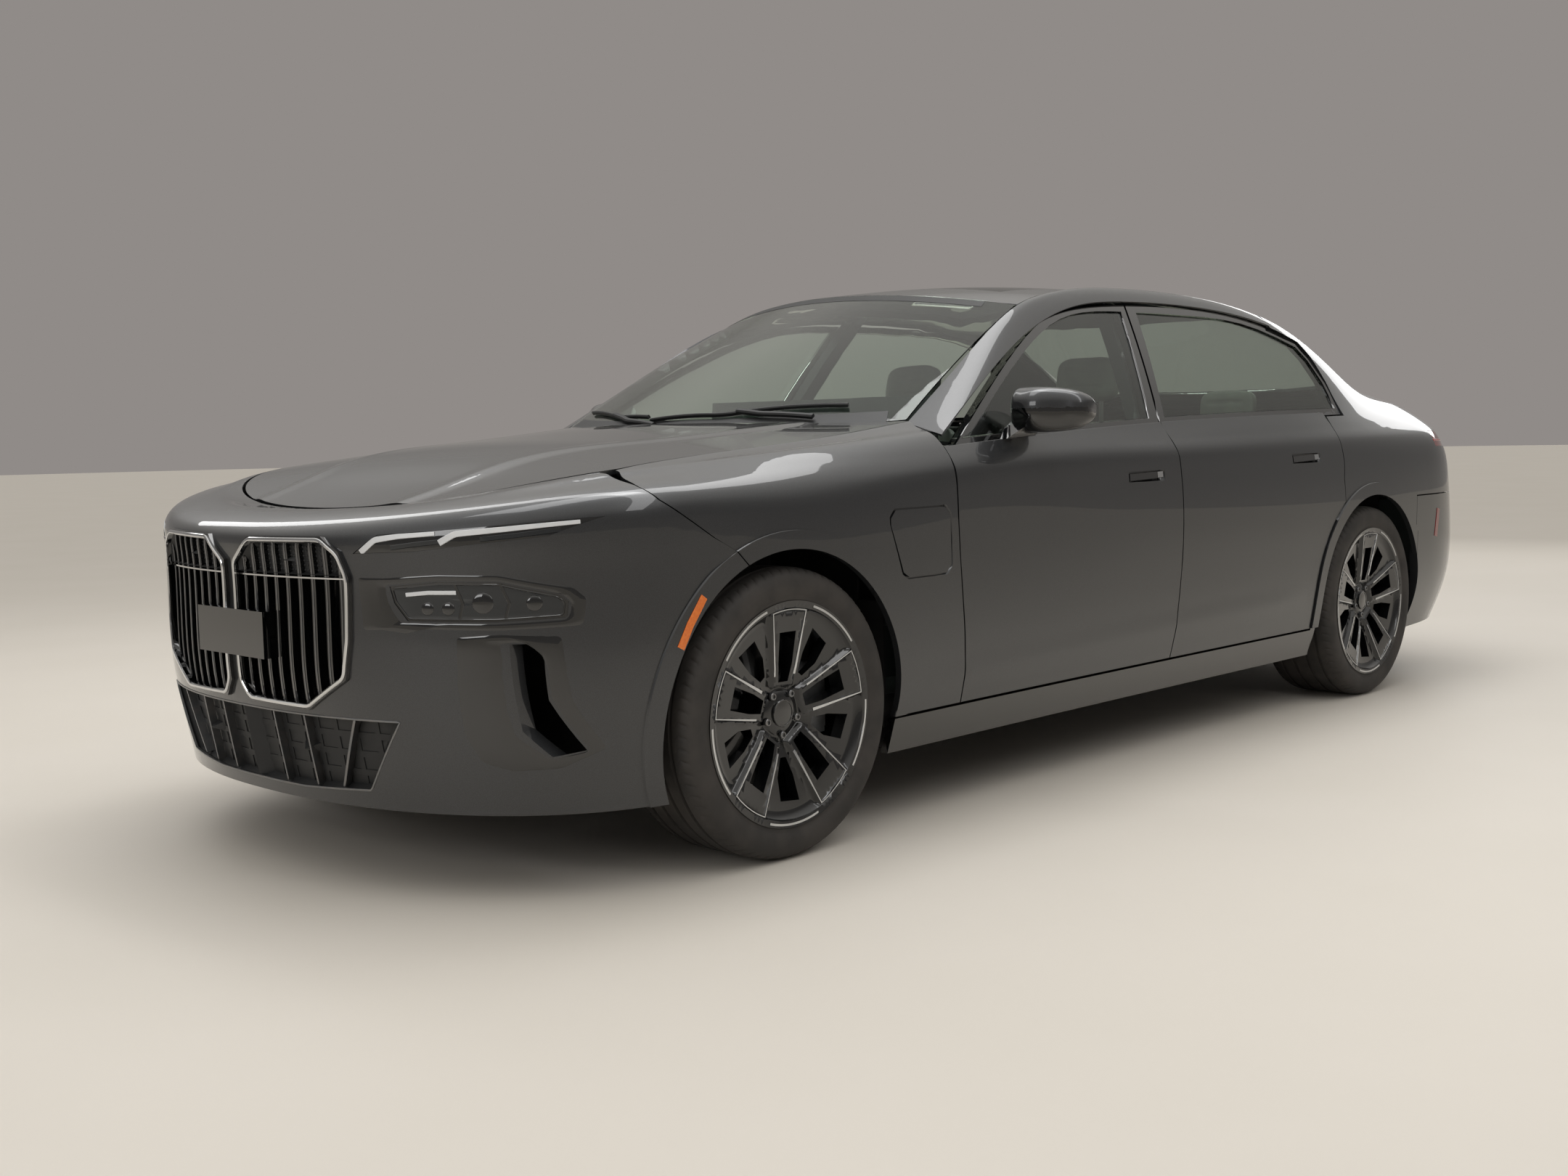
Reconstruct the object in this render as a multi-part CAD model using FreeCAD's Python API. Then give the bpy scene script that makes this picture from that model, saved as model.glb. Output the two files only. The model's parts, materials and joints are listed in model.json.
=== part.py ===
"""Full-size four-door luxury sedan, built as separate panels, glass, running gear and cabin pieces.

Millimetres. +Z is up, the car faces -Y, its left side is at +X. The origin is on the floor, under the
centre of the car. Heights and half widths of the body come from seven lines that run round it, from the
sill up to the edge of the bonnet and boot lid, each given at a few stations along the car.
"""
import FreeCAD
import Part
import math
import os
from FreeCAD import Vector

# Driving dimensions of the whole car
LENGTH = 5391.0
WHEELBASE = 3215.0
FRONT_OVERHANG = 970.0
HEIGHT = 1544.0
HALF_WIDTH = 973.0

# Wheels and tyres
TYRE_RADIUS = 363.0
TYRE_WIDTH_FRONT = 255.0
TYRE_WIDTH_REAR = 285.0
TRACK_FRONT = 1665.0
TRACK_REAR = 1650.0
RIM_RADIUS = 284.0
RIM_BARREL_RADIUS = 262.0
ARCH_RADIUS = 408.0
ARCH_BAND_WIDTH = 46.0
ARCH_BAND_RISE = 7.0
SPOKES = 5
DISC_RADIUS = 187.0
DISC_THICKNESS = 34.0
DISC_SETBACK = 150.0
HUB_RADIUS = 78.0
HUB_BORE = 34.0

# Panels
SHUT_GAP = 5.0
SEAT_GAP = 0.3
SKIN = 25.0
THIN_SKIN = 12.0
DOOR_DEPTH = 95.0
DOOR_STEP_FRONT = 48.0
DOOR_STEP_REAR = 62.0
DOOR_STEP_LOW = 75.0
GLASS_THICKNESS = 5.0
GLASS_INSET = 6.0
FRAME_WIDTH = 24.0
FRAME_DEPTH = 34.0
FRAME_LIP = 8.0
FRAME_LIP_WIDTH = 7.0
PILLAR_FRAME_FRONT = 37.0
PILLAR_FRAME_REAR = 42.5
PILLAR_FRAME_DEEP = 30.0
PILLAR_CLEARANCE = 10.0

# Heights of the side panels' and the sill trims' lower edges
PANEL_LOW = 300.0
TRIM_LOW = 196.0

# Stations along the car
AXLE_FRONT = -LENGTH / 2 + FRONT_OVERHANG
AXLE_REAR = AXLE_FRONT + WHEELBASE
NOSE = -LENGTH / 2
TAIL = LENGTH / 2
FRONT_CORNER = AXLE_FRONT - 560.0
DOOR_FRONT = AXLE_FRONT + 680.0
DOOR_MIDDLE = AXLE_FRONT + 1825.0
DOOR_REAR = AXLE_REAR - 225.0
REAR_CORNER = AXLE_REAR + 735.0
MIRROR_REAR = AXLE_FRONT + 1126.0
STATIONS = (NOSE, FRONT_CORNER, AXLE_FRONT, DOOR_FRONT, DOOR_MIDDLE, AXLE_REAR, REAR_CORNER, TAIL)

# Where the sides start to turn in towards the nose and the tail, and how boxy the corners are
NOSE_TURN = AXLE_FRONT - 300.0
TAIL_TURN = AXLE_REAR + 485.0
NOSE_POWER = (2.1, 2.3)
TAIL_POWER = (3.2, 2.8)

# Lines round the body, from the sill up to the shoulder: half widths and heights at the stations, and how
# far the line stays back from the nose and from the tail
RINGS = (
    ((905, 905, 908, 905, 905, 910, 900, 880), (205, 200, 200, 200, 200, 205, 225, 245), 65, 120),
    ((925, 930, 945, 940, 938, 952, 945, 915), (400, 360, 340, 330, 330, 350, 370, 385), 30, 36),
    ((935, 945, 965, 958, 955, 973, 965, 935), (600, 590, 590, 580, 580, 600, 615, 620), 14, 7),
    ((930, 940, 962, 956, 955, 971, 960, 920), (770, 780, 790, 790, 800, 810, 825, 835), 12, 46),
    ((915, 920, 930, 935, 932, 927, 905, 880), (845, 908, 925, 957, 968, 990, 1000, 1003), 28, 96),
    ((850, 850, 862, 890, 887, 856, 800, 790), (862, 932, 978, 1018, 1052, 1092, 1085, 1075), 100, 150),
)
RING_SPACING = (0.0, 0.12, 0.33, 0.48, 0.60, 0.68, 0.86, 1.0)

# The bonnet: its edge's half width and height, and how far its middle stands above that
BONNET_STATIONS = (NOSE, FRONT_CORNER, FRONT_CORNER + 140, AXLE_FRONT, AXLE_FRONT + 320, DOOR_FRONT)
BONNET_HALF_WIDTH = (765, 765, 765, 766, 768, 772)
BONNET_EDGE_HEIGHT = (885, 948, 970, 1010, 1036, 1077)
BONNET_CROWN = (-60, -14, 15, 34, 36, 26)
BONNET_BACK = 250
BONNET_REAR_MIDDLE = AXLE_FRONT + 400
BONNET_REAR_EDGE = DOOR_FRONT + 5
BONNET_THICKNESS = 30.0

# The cabin: the line where the side windows end below the roof, and the roof's edge, which runs on as the
# edge of the windscreen, of the rear window and of the boot lid
CANT_STATIONS = (DOOR_FRONT + 10, DOOR_FRONT + 320, DOOR_FRONT + 690, DOOR_FRONT + 970, DOOR_MIDDLE + 125,
                 DOOR_MIDDLE + 525, DOOR_MIDDLE + 925, AXLE_REAR - 105, AXLE_REAR + 85, AXLE_REAR + 385,
                 REAR_CORNER, TAIL)
CANT_HALF_WIDTH = (880, 800, 712, 676, 661, 661, 680, 712, 722, 722, 712, 690)
CANT_HEIGHT = (1040, 1200, 1362, 1438, 1464, 1466, 1438, 1358, 1285, 1168, 1125, 1103)
EDGE_HALF_WIDTH = (752, 704, 646, 612, 596, 588, 592, 604, 626, 655, 640, 612)
EDGE_HEIGHT = (1076, 1252, 1436, 1488, 1502, 1502, 1476, 1398, 1318, 1198, 1152, 1128)
CANT_BACK = 175
EDGE_BACK = 215
ROOF_LINE = ((AXLE_FRONT + 1215, 1494), (AXLE_FRONT + 1500, 1526), (AXLE_FRONT + 1950, HEIGHT),
             (AXLE_FRONT + 2400, 1538), (AXLE_FRONT + 2700, 1508), (AXLE_FRONT + 2900, 1476))
SCREEN_BASE_MIDDLE = (AXLE_FRONT + 440, 1058)
SCREEN_BASE_EDGE = AXLE_FRONT + 700
SCREEN_TOP_MIDDLE = AXLE_FRONT + 1215
SCREEN_TOP_EDGE = AXLE_FRONT + 1370
REAR_TOP_MIDDLE = AXLE_FRONT + 2900
REAR_TOP_EDGE = AXLE_FRONT + 2820
REAR_BASE_MIDDLE = (AXLE_FRONT + 3665, 1183)
REAR_BASE_EDGE = AXLE_FRONT + 3580
BOOT_SPLIT_HEIGHT = 752.0
BOOT_HALF_WIDTH = 600.0


def cubic(knots, values):
    """Natural cubic through the given points, as a function; straight beyond its ends."""
    n = len(knots)
    h = [knots[i + 1] - knots[i] for i in range(n - 1)]
    lower, diagonal, right = [0.0] * n, [1.0] * n, [0.0] * n
    upper = [0.0] * n
    for i in range(1, n - 1):
        lower[i], diagonal[i], upper[i] = h[i - 1], 2 * (h[i - 1] + h[i]), h[i]
        right[i] = 6 * ((values[i + 1] - values[i]) / h[i] - (values[i] - values[i - 1]) / h[i - 1])
    for i in range(1, n):
        factor = lower[i] / diagonal[i - 1]
        diagonal[i] -= factor * upper[i - 1]
        right[i] -= factor * right[i - 1]
    bend = [0.0] * n
    for i in range(n - 2, 0, -1):
        bend[i] = (right[i] - upper[i] * bend[i + 1]) / diagonal[i]

    def value(t):
        i = 0
        while i < n - 2 and t > knots[i + 1]:
            i += 1
        if t < knots[0] or t > knots[-1]:
            end = 0 if t < knots[0] else n - 1
            slope = (values[i + 1] - values[i]) / h[i]
            slope += (-1 if end == 0 else 1) * h[i] * bend[i + 1 if end == 0 else i] / 6
            return values[end] + slope * (t - knots[end])
        a, b = knots[i + 1] - t, t - knots[i]
        curve = (bend[i] * a ** 3 + bend[i + 1] * b ** 3) / (6 * h[i])
        curve += (values[i] / h[i] - bend[i] * h[i] / 6) * a
        return curve + (values[i + 1] / h[i] - bend[i + 1] * h[i] / 6) * b

    return value


def through(points):
    """Function z(y) through hand-chosen points (y, z)."""
    return cubic([p[0] for p in points], [p[1] for p in points])


RING_WIDTH = [cubic(STATIONS, ring[0]) for ring in RINGS]
RING_HEIGHT = [cubic(STATIONS, ring[1]) for ring in RINGS]
bonnet_half_width = cubic(BONNET_STATIONS, BONNET_HALF_WIDTH)
bonnet_edge_height = cubic(BONNET_STATIONS, BONNET_EDGE_HEIGHT)
bonnet_crown = cubic(BONNET_STATIONS, BONNET_CROWN)
cant_half_width = cubic(CANT_STATIONS, CANT_HALF_WIDTH)
cant_height = cubic(CANT_STATIONS, CANT_HEIGHT)
edge_half_width = cubic(CANT_STATIONS, EDGE_HALF_WIDTH)
edge_height = cubic(CANT_STATIONS, EDGE_HEIGHT)
roof_height = through(ROOF_LINE)


def bonnet_height(x, y):
    """Height of the bonnet and the nose's top at (x, y)."""
    return bonnet_edge_height(y) + bonnet_crown(y) * (1 - (x / bonnet_half_width(y)) ** 2)


def on_outline(width, back, front, s):
    """(x, y) of a line with half width width(y): s is 0 at the nose, 1 to 2 along the side, 3 at the tail."""
    if s < 1:
        reach = NOSE_TURN - NOSE - back
        angle = s * math.pi / 2
        y = NOSE_TURN - reach * math.cos(angle) ** (2 / NOSE_POWER[0])
        return width(y) * math.sin(angle) ** (2 / NOSE_POWER[1]), y
    if s <= 2:
        y = NOSE_TURN + (s - 1) * (TAIL_TURN - NOSE_TURN)
        return width(y), y
    reach = TAIL - front - TAIL_TURN
    angle = (3 - s) * math.pi / 2
    y = TAIL_TURN + reach * math.cos(angle) ** (2 / TAIL_POWER[0])
    return width(y) * math.sin(angle) ** (2 / TAIL_POWER[1]), y


def section(s, cabin=False):
    """Section of the body's wall at s, as a function of v from the sill, 0, to the top edge, 1.

    Ahead of the doors it ends at the edge of the bonnet; cabin asks for the section up to the roof's edge,
    or behind the cabin up to the edge of the boot lid.
    """
    points = []
    for k, ring in enumerate(RINGS):
        x, y = on_outline(RING_WIDTH[k], ring[2], ring[3], s)
        points.append(Vector(x, y, RING_HEIGHT[k](y)))
    if cabin:
        x, y = on_outline(cant_half_width, 0, CANT_BACK, s)
        points.append(Vector(x, y, cant_height(y)))
        x, y = on_outline(edge_half_width, 0, EDGE_BACK, s)
        points.append(Vector(x, y, edge_height(y)))
    else:
        x, y = on_outline(bonnet_half_width, BONNET_BACK, 0, s)
        top = Vector(x, y, bonnet_height(x, y))
        points += [points[-1] * 0.42 + top * 0.58 + Vector(0, 0, 3), top]
    parts = [cubic(RING_SPACING, [getattr(p, axis) for p in points]) for axis in "xyz"]
    return lambda v: Vector(parts[0](v), parts[1](v), parts[2](v))


def side_s(y):
    """The s at which the wall is at y, on the side or at its corners."""
    if y < NOSE_TURN:
        share = (NOSE_TURN - y) / (NOSE_TURN - NOSE)
        return math.acos(share ** (NOSE_POWER[0] / 2)) * 2 / math.pi
    return 1 + (y - NOSE_TURN) / (TAIL_TURN - NOSE_TURN)


def side_x(y, z):
    """Half width of the body's side at (y, z), below the side windows."""
    profile = section(side_s(y), y > DOOR_FRONT)
    low, high = -0.1, 0.74
    for _ in range(30):
        middle = (low + high) / 2
        if profile(middle).z < z:
            low = middle
        else:
            high = middle
    return profile(low).x


def steps(low, high, count):
    return [low + (high - low) * i / (count - 1) for i in range(count)]


def surface_face(grid):
    surface = Part.BSplineSurface()
    surface.interpolate(grid)
    return surface.toShape()


def normals(grid):
    """Unit normals of a grid of points, from the differences between neighbours."""
    rows, columns = len(grid), len(grid[0])
    result = []
    for i in range(rows):
        line = []
        for j in range(columns):
            along = grid[min(i + 1, rows - 1)][j] - grid[max(i - 1, 0)][j]
            across = grid[i][min(j + 1, columns - 1)] - grid[i][max(j - 1, 0)]
            n = along.cross(across)
            if abs(grid[i][j].x) < 1e-6:
                n.x = 0
            line.append(n / n.Length)
        result.append(line)
    return result


def moved(grid, distance):
    """The grid moved along its normals."""
    n = normals(grid)
    return [[p + n[i][j] * distance for j, p in enumerate(row)] for i, row in enumerate(grid)]


def between(first, second):
    """Closed solid between two grids of the same size."""
    top, bottom = surface_face(first), surface_face(second)
    sides = []
    for a, b in zip(border(first), border(second)):
        sides.append(Part.makeRuledSurface(a, b))
    shell = Part.Shell([top, bottom] + sides)
    shell.sewShape()
    solid = Part.Solid(shell)
    if solid.Volume < 0:
        solid.reverse()
    return solid


def border(grid):
    """The four border curves of the surface through a grid."""
    surface = Part.BSplineSurface()
    surface.interpolate(grid)
    u0, u1, v0, v1 = surface.bounds()
    curves = (surface.uIso(u0), surface.uIso(u1), surface.vIso(v0), surface.vIso(v1))
    return [c.toShape() for c in curves]


def thick(grid, outer, inner):
    """Solid between two parallel copies of the grid, at signed distances along its normals."""
    return between(moved(grid, outer), moved(grid, inner))


def wall_grid(s0, s1, ns, v0=0.0, v1=1.0, cabin=False, nv=17):
    """Grid on the body's wall, its normals pointing outwards."""
    rows = []
    for s in steps(s0, s1, ns):
        profile = section(s, cabin)
        rows.append([profile(v) for v in steps(v0, v1, nv)])
    return rows


def side_grid(y0, y1, count, v0=0.0, v1=1.0, cabin=False, nv=17):
    return wall_grid(side_s(y0), side_s(y1), count, v0, v1, cabin, nv)


def box(x0, x1, y0, y1, z0, z1):
    return Part.makeBox(x1 - x0, y1 - y0, z1 - z0, Vector(x0, y0, z0))


def cylinder(radius, length, centre, axis):
    return Part.makeCylinder(radius, length, centre, axis)


def outline_prism(points, x0, x1):
    """Solid whose outline in side view is given as (y, z) points, from x0 to x1."""
    corners = [Vector(x0, y, z) for y, z in points]
    face = Part.Face(Part.makePolygon(corners + corners[:1]))
    return face.extrude(Vector(x1 - x0, 0, 0))


def front_prism(points, y0, y1):
    """Solid whose outline in front view is given as (x, z) points, from y0 to y1."""
    corners = [Vector(x, y0, z) for x, z in points]
    face = Part.Face(Part.makePolygon(corners + corners[:1]))
    return face.extrude(Vector(0, y1 - y0, 0))


def plan_prism(points, z0, z1):
    """Solid whose outline from above is given as (x, y) points, from z0 to z1."""
    corners = [Vector(x, y, z0) for x, y in points]
    face = Part.Face(Part.makePolygon(corners + corners[:1]))
    return face.extrude(Vector(0, 0, z1 - z0))


def mirror(shape):
    return shape.mirror(Vector(0, 0, 0), Vector(1, 0, 0))


def both(shape):
    return Part.makeCompound([shape, mirror(shape)])


def fuse(shapes):
    return shapes[0].fuse(list(shapes[1:])) if len(shapes) > 1 else shapes[0]


def solids_of(shape, smallest=200.0):
    return [s for s in shape.Solids if s.Volume > smallest]


def save(name, shape):
    solids = solids_of(shape)
    if not solids:
        raise RuntimeError(name + " has no solid")
    for s in solids:
        if not s.isValid():
            print("invalid solid in", name)
    result = Part.makeCompound(solids) if len(solids) > 1 else solids[0]
    result.exportStep("parts/" + name + ".step")
    b = result.optimalBoundingBox(False)
    print("%-20s %2d solids %4d faces  x %6.0f %6.0f  y %6.0f %6.0f  z %5.0f %5.0f" % (
        name, len(solids), len(result.Faces), b.XMin, b.XMax, b.YMin, b.YMax, b.ZMin, b.ZMax))


# Lines of the doors and windows in side view, as y at a height or height at y
def door_front_y(z):
    return DOOR_FRONT + through(((200, 8), (385, 14), (570, 0), (925, -14), (1010, -8), (1100, 0)))(z)


def door_middle_y(z):
    return DOOR_MIDDLE + through(((200, -32), (325, -26), (600, 8), (870, 16), (1010, 8), (1080, -8)))(z)


def belt_z(y):
    line = ((DOOR_FRONT + 60, 1010), (DOOR_FRONT + 740, 1046), (DOOR_MIDDLE + 400, 1072), (DOOR_REAR + 170, 1088))
    return through(line)(y)


def window_top_z(y):
    line = (
        (DOOR_FRONT + 75, 1012), (DOOR_FRONT + 300, 1148), (DOOR_FRONT + 600, 1308), (DOOR_FRONT + 880, 1412),
        (DOOR_FRONT + 1240, 1446), (DOOR_MIDDLE + 520, 1447), (DOOR_MIDDLE + 950, 1420),
        (DOOR_REAR + 110, 1335),
    )
    return through(line)(y)


def glass_x(y, z):
    """Half width of the side windows' plane, leaning in from the belt line."""
    rise = z - belt_z(y)
    return side_x(y, belt_z(y)) - 8 - 0.5 * rise - 0.000186 * rise * rise


# Wheels
def tyre(radius, width, rim):
    """Tyre about the X axis at the origin, its outer face towards +X."""
    half = width / 2
    shoulder = radius - 9
    outer = ((half - 50, rim - 23.7), (half - 44.2, rim - 23.6), (half - 26.3, rim - 12.6), (half - 13.4, rim - 11.6),
             (half - 8, rim - 4.4), (half, radius - 44), (half - 14, shoulder), (half - 40, radius))
    inner = ((half - 44, radius - 16), (half - 22, radius - 46), (half - 40, rim + 4), (half - 56, rim - 14))
    v = [Vector(x, 0, r) for x, r in outer]
    w = [Vector(-x, 0, r) for x, r in outer]
    edges = [Part.makePolygon(v[:5]), Part.makePolygon(w[:5])]
    edges += [Part.Arc(v[4], v[5], v[6]).toShape(), Part.Arc(w[4], w[5], w[6]).toShape()]
    edges += [Part.makePolygon([v[6], v[7], w[7], w[6]])]
    bore = [v[0]] + [Vector(x, 0, r) for x, r in inner[::-1]] + [Vector(-x, 0, r) for x, r in inner] + [w[0]]
    edges.append(Part.makePolygon(bore))
    edges = Part.sortEdges([e for part in edges for e in part.Edges])[0]
    face = Part.Face(Part.Wire(edges))
    return face.revolve(Vector(0, 0, 0), Vector(1, 0, 0), 360)


def revolved(points):
    """Ring of revolution about the X axis from (x, radius) points."""
    v = [Vector(x, 0, r) for x, r in points]
    return Part.Face(Part.makePolygon(v + v[:1])).revolve(Vector(0, 0, 0), Vector(1, 0, 0), 360)


def polar_prism(points, x0, x1):
    """Prism along X from (radius, degrees) points, degrees from +Z towards +Y."""
    corners = []
    for r, a in points:
        t = math.radians(a)
        corners.append(Vector(x0, r * math.sin(t), r * math.cos(t)))
    face = Part.Face(Part.makePolygon(corners + corners[:1]))
    return face.extrude(Vector(x1 - x0, 0, 0))


def rim(width):
    """Rim, five broad spokes with five blades between, hub and brake disc, outer face towards +X."""
    half = width / 2
    barrel = revolved((
        (-half + 20, RIM_RADIUS - 22), (-half + 20, RIM_RADIUS - 13.5), (-half + 26, RIM_RADIUS - 13.5),
        (-half + 44, RIM_BARREL_RADIUS - 8), (half - 44, RIM_BARREL_RADIUS - 2), (half - 26, RIM_RADIUS - 13),
        (half - 13, RIM_RADIUS - 12), (half - 6, RIM_RADIUS - 3), (half - 9, RIM_RADIUS - 20),
        (half - 34, RIM_BARREL_RADIUS - 12), (-half + 44, RIM_BARREL_RADIUS - 18),
    ))
    hub_face = half - 44
    hub = revolved(((hub_face - 46, HUB_BORE), (hub_face - 46, HUB_RADIUS), (hub_face - 18, HUB_RADIUS - 6),
                    (hub_face - 4, 52), (hub_face, 36), (hub_face, 0.01), (hub_face - 30, 0.01), (hub_face - 30, HUB_BORE)))
    turn = 360.0 / SPOKES
    web = revolved(((half - 64, 46), (half - 64, 248), (half - 36, 255), (half - 22, 264), (half - 25, 240),
                    (half - 42, 120), (half - 54, 60), (half - 56, 46)))
    dish = revolved(((half - 62, 0.01), (half - 62, 246), (half - 36, 256), (half - 14, 264), (half - 10, 264),
                     (half - 13, 240), (half - 30, 120), (half - 42, 60), (half - 42, 0.01)))
    frames = fuse([polar_prism(((74, i * turn - 28), (98, i * turn - 22), (263, i * turn - 14), (263, i * turn + 14),
                                (98, i * turn + 22), (74, i * turn + 28)), half - 61, half - 8) for i in range(SPOKES)])
    spokes = fuse([web, frames.common(dish)])
    for i in range(SPOKES):
        a = i * turn
        spokes = spokes.cut(polar_prism(((80, a - 12), (130, a - 11), (206, a - 8), (206, a + 8), (130, a + 11),
                                         (80, a + 12)), half - 90, half + 5))
        a += turn / 2
        spokes = spokes.cut(polar_prism(((112, a - 5), (160, a - 10), (226, a - 10), (218, a + 7), (160, a + 10),
                                         (112, a + 5)), half - 90, half + 5))
    wheel = fuse([barrel, hub, spokes])
    disc_x = half - DISC_SETBACK
    disc = revolved(((disc_x, 62), (disc_x, DISC_RADIUS), (disc_x + DISC_THICKNESS, DISC_RADIUS),
                     (disc_x + DISC_THICKNESS, 88), (hub_face - 40, 76), (hub_face - 40, HUB_BORE), (hub_face - 52, HUB_BORE),
                     (hub_face - 52, 62)))
    return fuse([wheel, disc])


def place_wheel(shape, x, y, side):
    if side < 0:
        shape = mirror(shape)
    return shape.translated(Vector(side * x, y, TYRE_RADIUS))


def half_track(front):
    return (TRACK_FRONT if front else TRACK_REAR) / 2


def write_wheels():
    for front in (True, False):
        width = TYRE_WIDTH_FRONT if front else TYRE_WIDTH_REAR
        y = AXLE_FRONT if front else AXLE_REAR
        end = "front" if front else "rear"
        rubber, metal = tyre(TYRE_RADIUS, width, RIM_RADIUS), rim(width)
        for side, word in ((1, "left"), (-1, "right")):
            save("tyre_%s_%s" % (end, word), place_wheel(rubber, half_track(front), y, side))
            save("rim_%s_%s" % (end, word), place_wheel(metal, half_track(front), y, side))


def arch_cylinder(front, radius):
    y = AXLE_FRONT if front else AXLE_REAR
    return cylinder(radius, 520, Vector(560, y, TYRE_RADIUS), Vector(1, 0, 0))


def arch_band(front, y0, y1, cabin=False):
    """Raised flat band round a wheel arch, on the body's side."""
    y = AXLE_FRONT if front else AXLE_REAR
    skin = thick(side_grid(y0, y1, 25, 0.0, 0.6, cabin), ARCH_BAND_RISE, -7)
    ring = cylinder(ARCH_RADIUS + ARCH_BAND_WIDTH, 520, Vector(560, y, TYRE_RADIUS), Vector(1, 0, 0))
    return skin.common(ring.cut(arch_cylinder(front, ARCH_RADIUS)))


# Outlines of the side panels, as (y, z) points
def line_points(line, z0, z1, count, shift=0.0):
    return [(line(z) + shift, z) for z in steps(z0, z1, count)]


BUMPER_SPLIT = ((-420, 1100), (-420, 935), (-395, 905), (-330, 862), (-250, 812), (-190, 780), (-150, 740))


def bumper_split(shift):
    return [(AXLE_FRONT + y + shift, z) for y, z in BUMPER_SPLIT]


def charge_flap_points(grow):
    y0, y1 = AXLE_FRONT + 375 - grow, AXLE_FRONT + 628 + grow
    z0, z1 = 668 - grow, 846 + grow
    r = 22
    return ((y0 + r, z1), (y1 - r, z1), (y1, z1 - r), (y1, z0 + r), (y1 - r, z0), (y0 + 70, z0), (y0 + 46, z0 + 14),
            (y0, z1 - 40), (y0, z1 - r))


def fuel_flap_points(grow):
    yc, zc, half = AXLE_REAR + 470, 890, 88 + grow
    r = 22
    return ((yc - half + r, zc + half), (yc + half - r, zc + half), (yc + half, zc + half - r),
            (yc + half, zc - half + r), (yc + half - r, zc - half), (yc - half + r, zc - half),
            (yc - half, zc - half + r), (yc - half, zc + half - r))


def flap_bracket(y, z, cabin):
    """Hinge bracket behind a flap's front edge, standing on the tray."""
    grid = side_grid(y - 40, y + 120, 9, 0.28, 0.66, cabin)
    return thick(grid, -6 - SEAT_GAP, -THIN_SKIN - 2).common(box(600, 1100, y + 8, y + 60, z - 45, z + 45))


def write_fenders():
    y0, y1 = AXLE_FRONT - 430, DOOR_FRONT + 40
    shell = thick(side_grid(y0, y1, 24), 0, -THIN_SKIN)
    cut = bumper_split(SHUT_GAP / 2)
    rear = line_points(door_front_y, PANEL_LOW, 1150, 9, -SHUT_GAP / 2)
    keep = outline_prism(cut + [(AXLE_FRONT, PANEL_LOW)] + rear, 500, 1100)
    shell = shell.common(keep).cut(arch_cylinder(True, ARCH_RADIUS))
    band = arch_band(True, AXLE_FRONT - 480, AXLE_FRONT + 480).common(keep)
    y_steps = steps(AXLE_FRONT - 600, DOOR_FRONT + 60, 9)
    plan = [(bonnet_half_width(y), y) for y in y_steps] + [(400, DOOR_FRONT + 60), (400, AXLE_FRONT - 600)]
    fender = fuse([shell, band]).cut(plan_prism(plan, 880, 1200))
    left = fender.cut(outline_prism(charge_flap_points(SHUT_GAP), 700, 1100))
    tray = thick(side_grid(AXLE_FRONT + 340, AXLE_FRONT + 664, 9, 0.28, 0.66), -THIN_SKIN + 1, -THIN_SKIN - 22)
    tray = tray.common(outline_prism(charge_flap_points(SHUT_GAP + 12), 700, 1100))
    save("fender_left", fuse([left, tray, flap_bracket(AXLE_FRONT + 375, 757, False)]))
    save("fender_right", mirror(fender))
    flap = thick(side_grid(AXLE_FRONT + 360, AXLE_FRONT + 644, 9, 0.28, 0.66), 0, -6)
    save("charge_flap", flap.common(outline_prism(charge_flap_points(0), 700, 1100)))


# Doors
def door_outline(front, shift_front, shift_rear, low, high_drop):
    """Outline of a door's lower part, up to the belt line."""
    ahead = door_front_y if front else door_middle_y
    behind = door_middle_y if front else None
    points = []
    for z in steps(1000 if front else 1055, low, 8):
        points.append((ahead(z) + shift_front, z))
    if front:
        for z in steps(low, 1056, 9):
            points.append((behind(z) - shift_rear, z))
    else:
        reach = ARCH_RADIUS + ARCH_BAND_WIDTH + SHUT_GAP + shift_rear
        for a in steps(180 + math.degrees(math.asin((TYRE_RADIUS - low) / reach)), 122, 10):
            t = math.radians(a)
            points.append((AXLE_REAR + reach * math.cos(t), TYRE_RADIUS + reach * math.sin(t)))
        points += [(DOOR_REAR - 20 - shift_rear, 840), (DOOR_REAR - 2 - shift_rear, 905),
                   (DOOR_REAR + 2 - shift_rear, 1000)]
    first, last = points[0], points[-1]
    top = [(y, belt_z(y) - high_drop) for y in steps(last[0], first[0], 8)]
    return points + top


def side_shell(y0, y1, outer, inner, count=16, v1=0.74):
    return thick(side_grid(y0, y1, count, -0.05, v1, True), outer, inner)


def glass_grid(y0, y1, count, low, high, rows=9):
    """Grid on the side windows' plane between the heights low(y) and high(y)."""
    grid = []
    for y in steps(y0, y1, count):
        grid.append([Vector(glass_x(y, z), y, z) for z in steps(low(y), high(y), rows)])
    return grid


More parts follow.
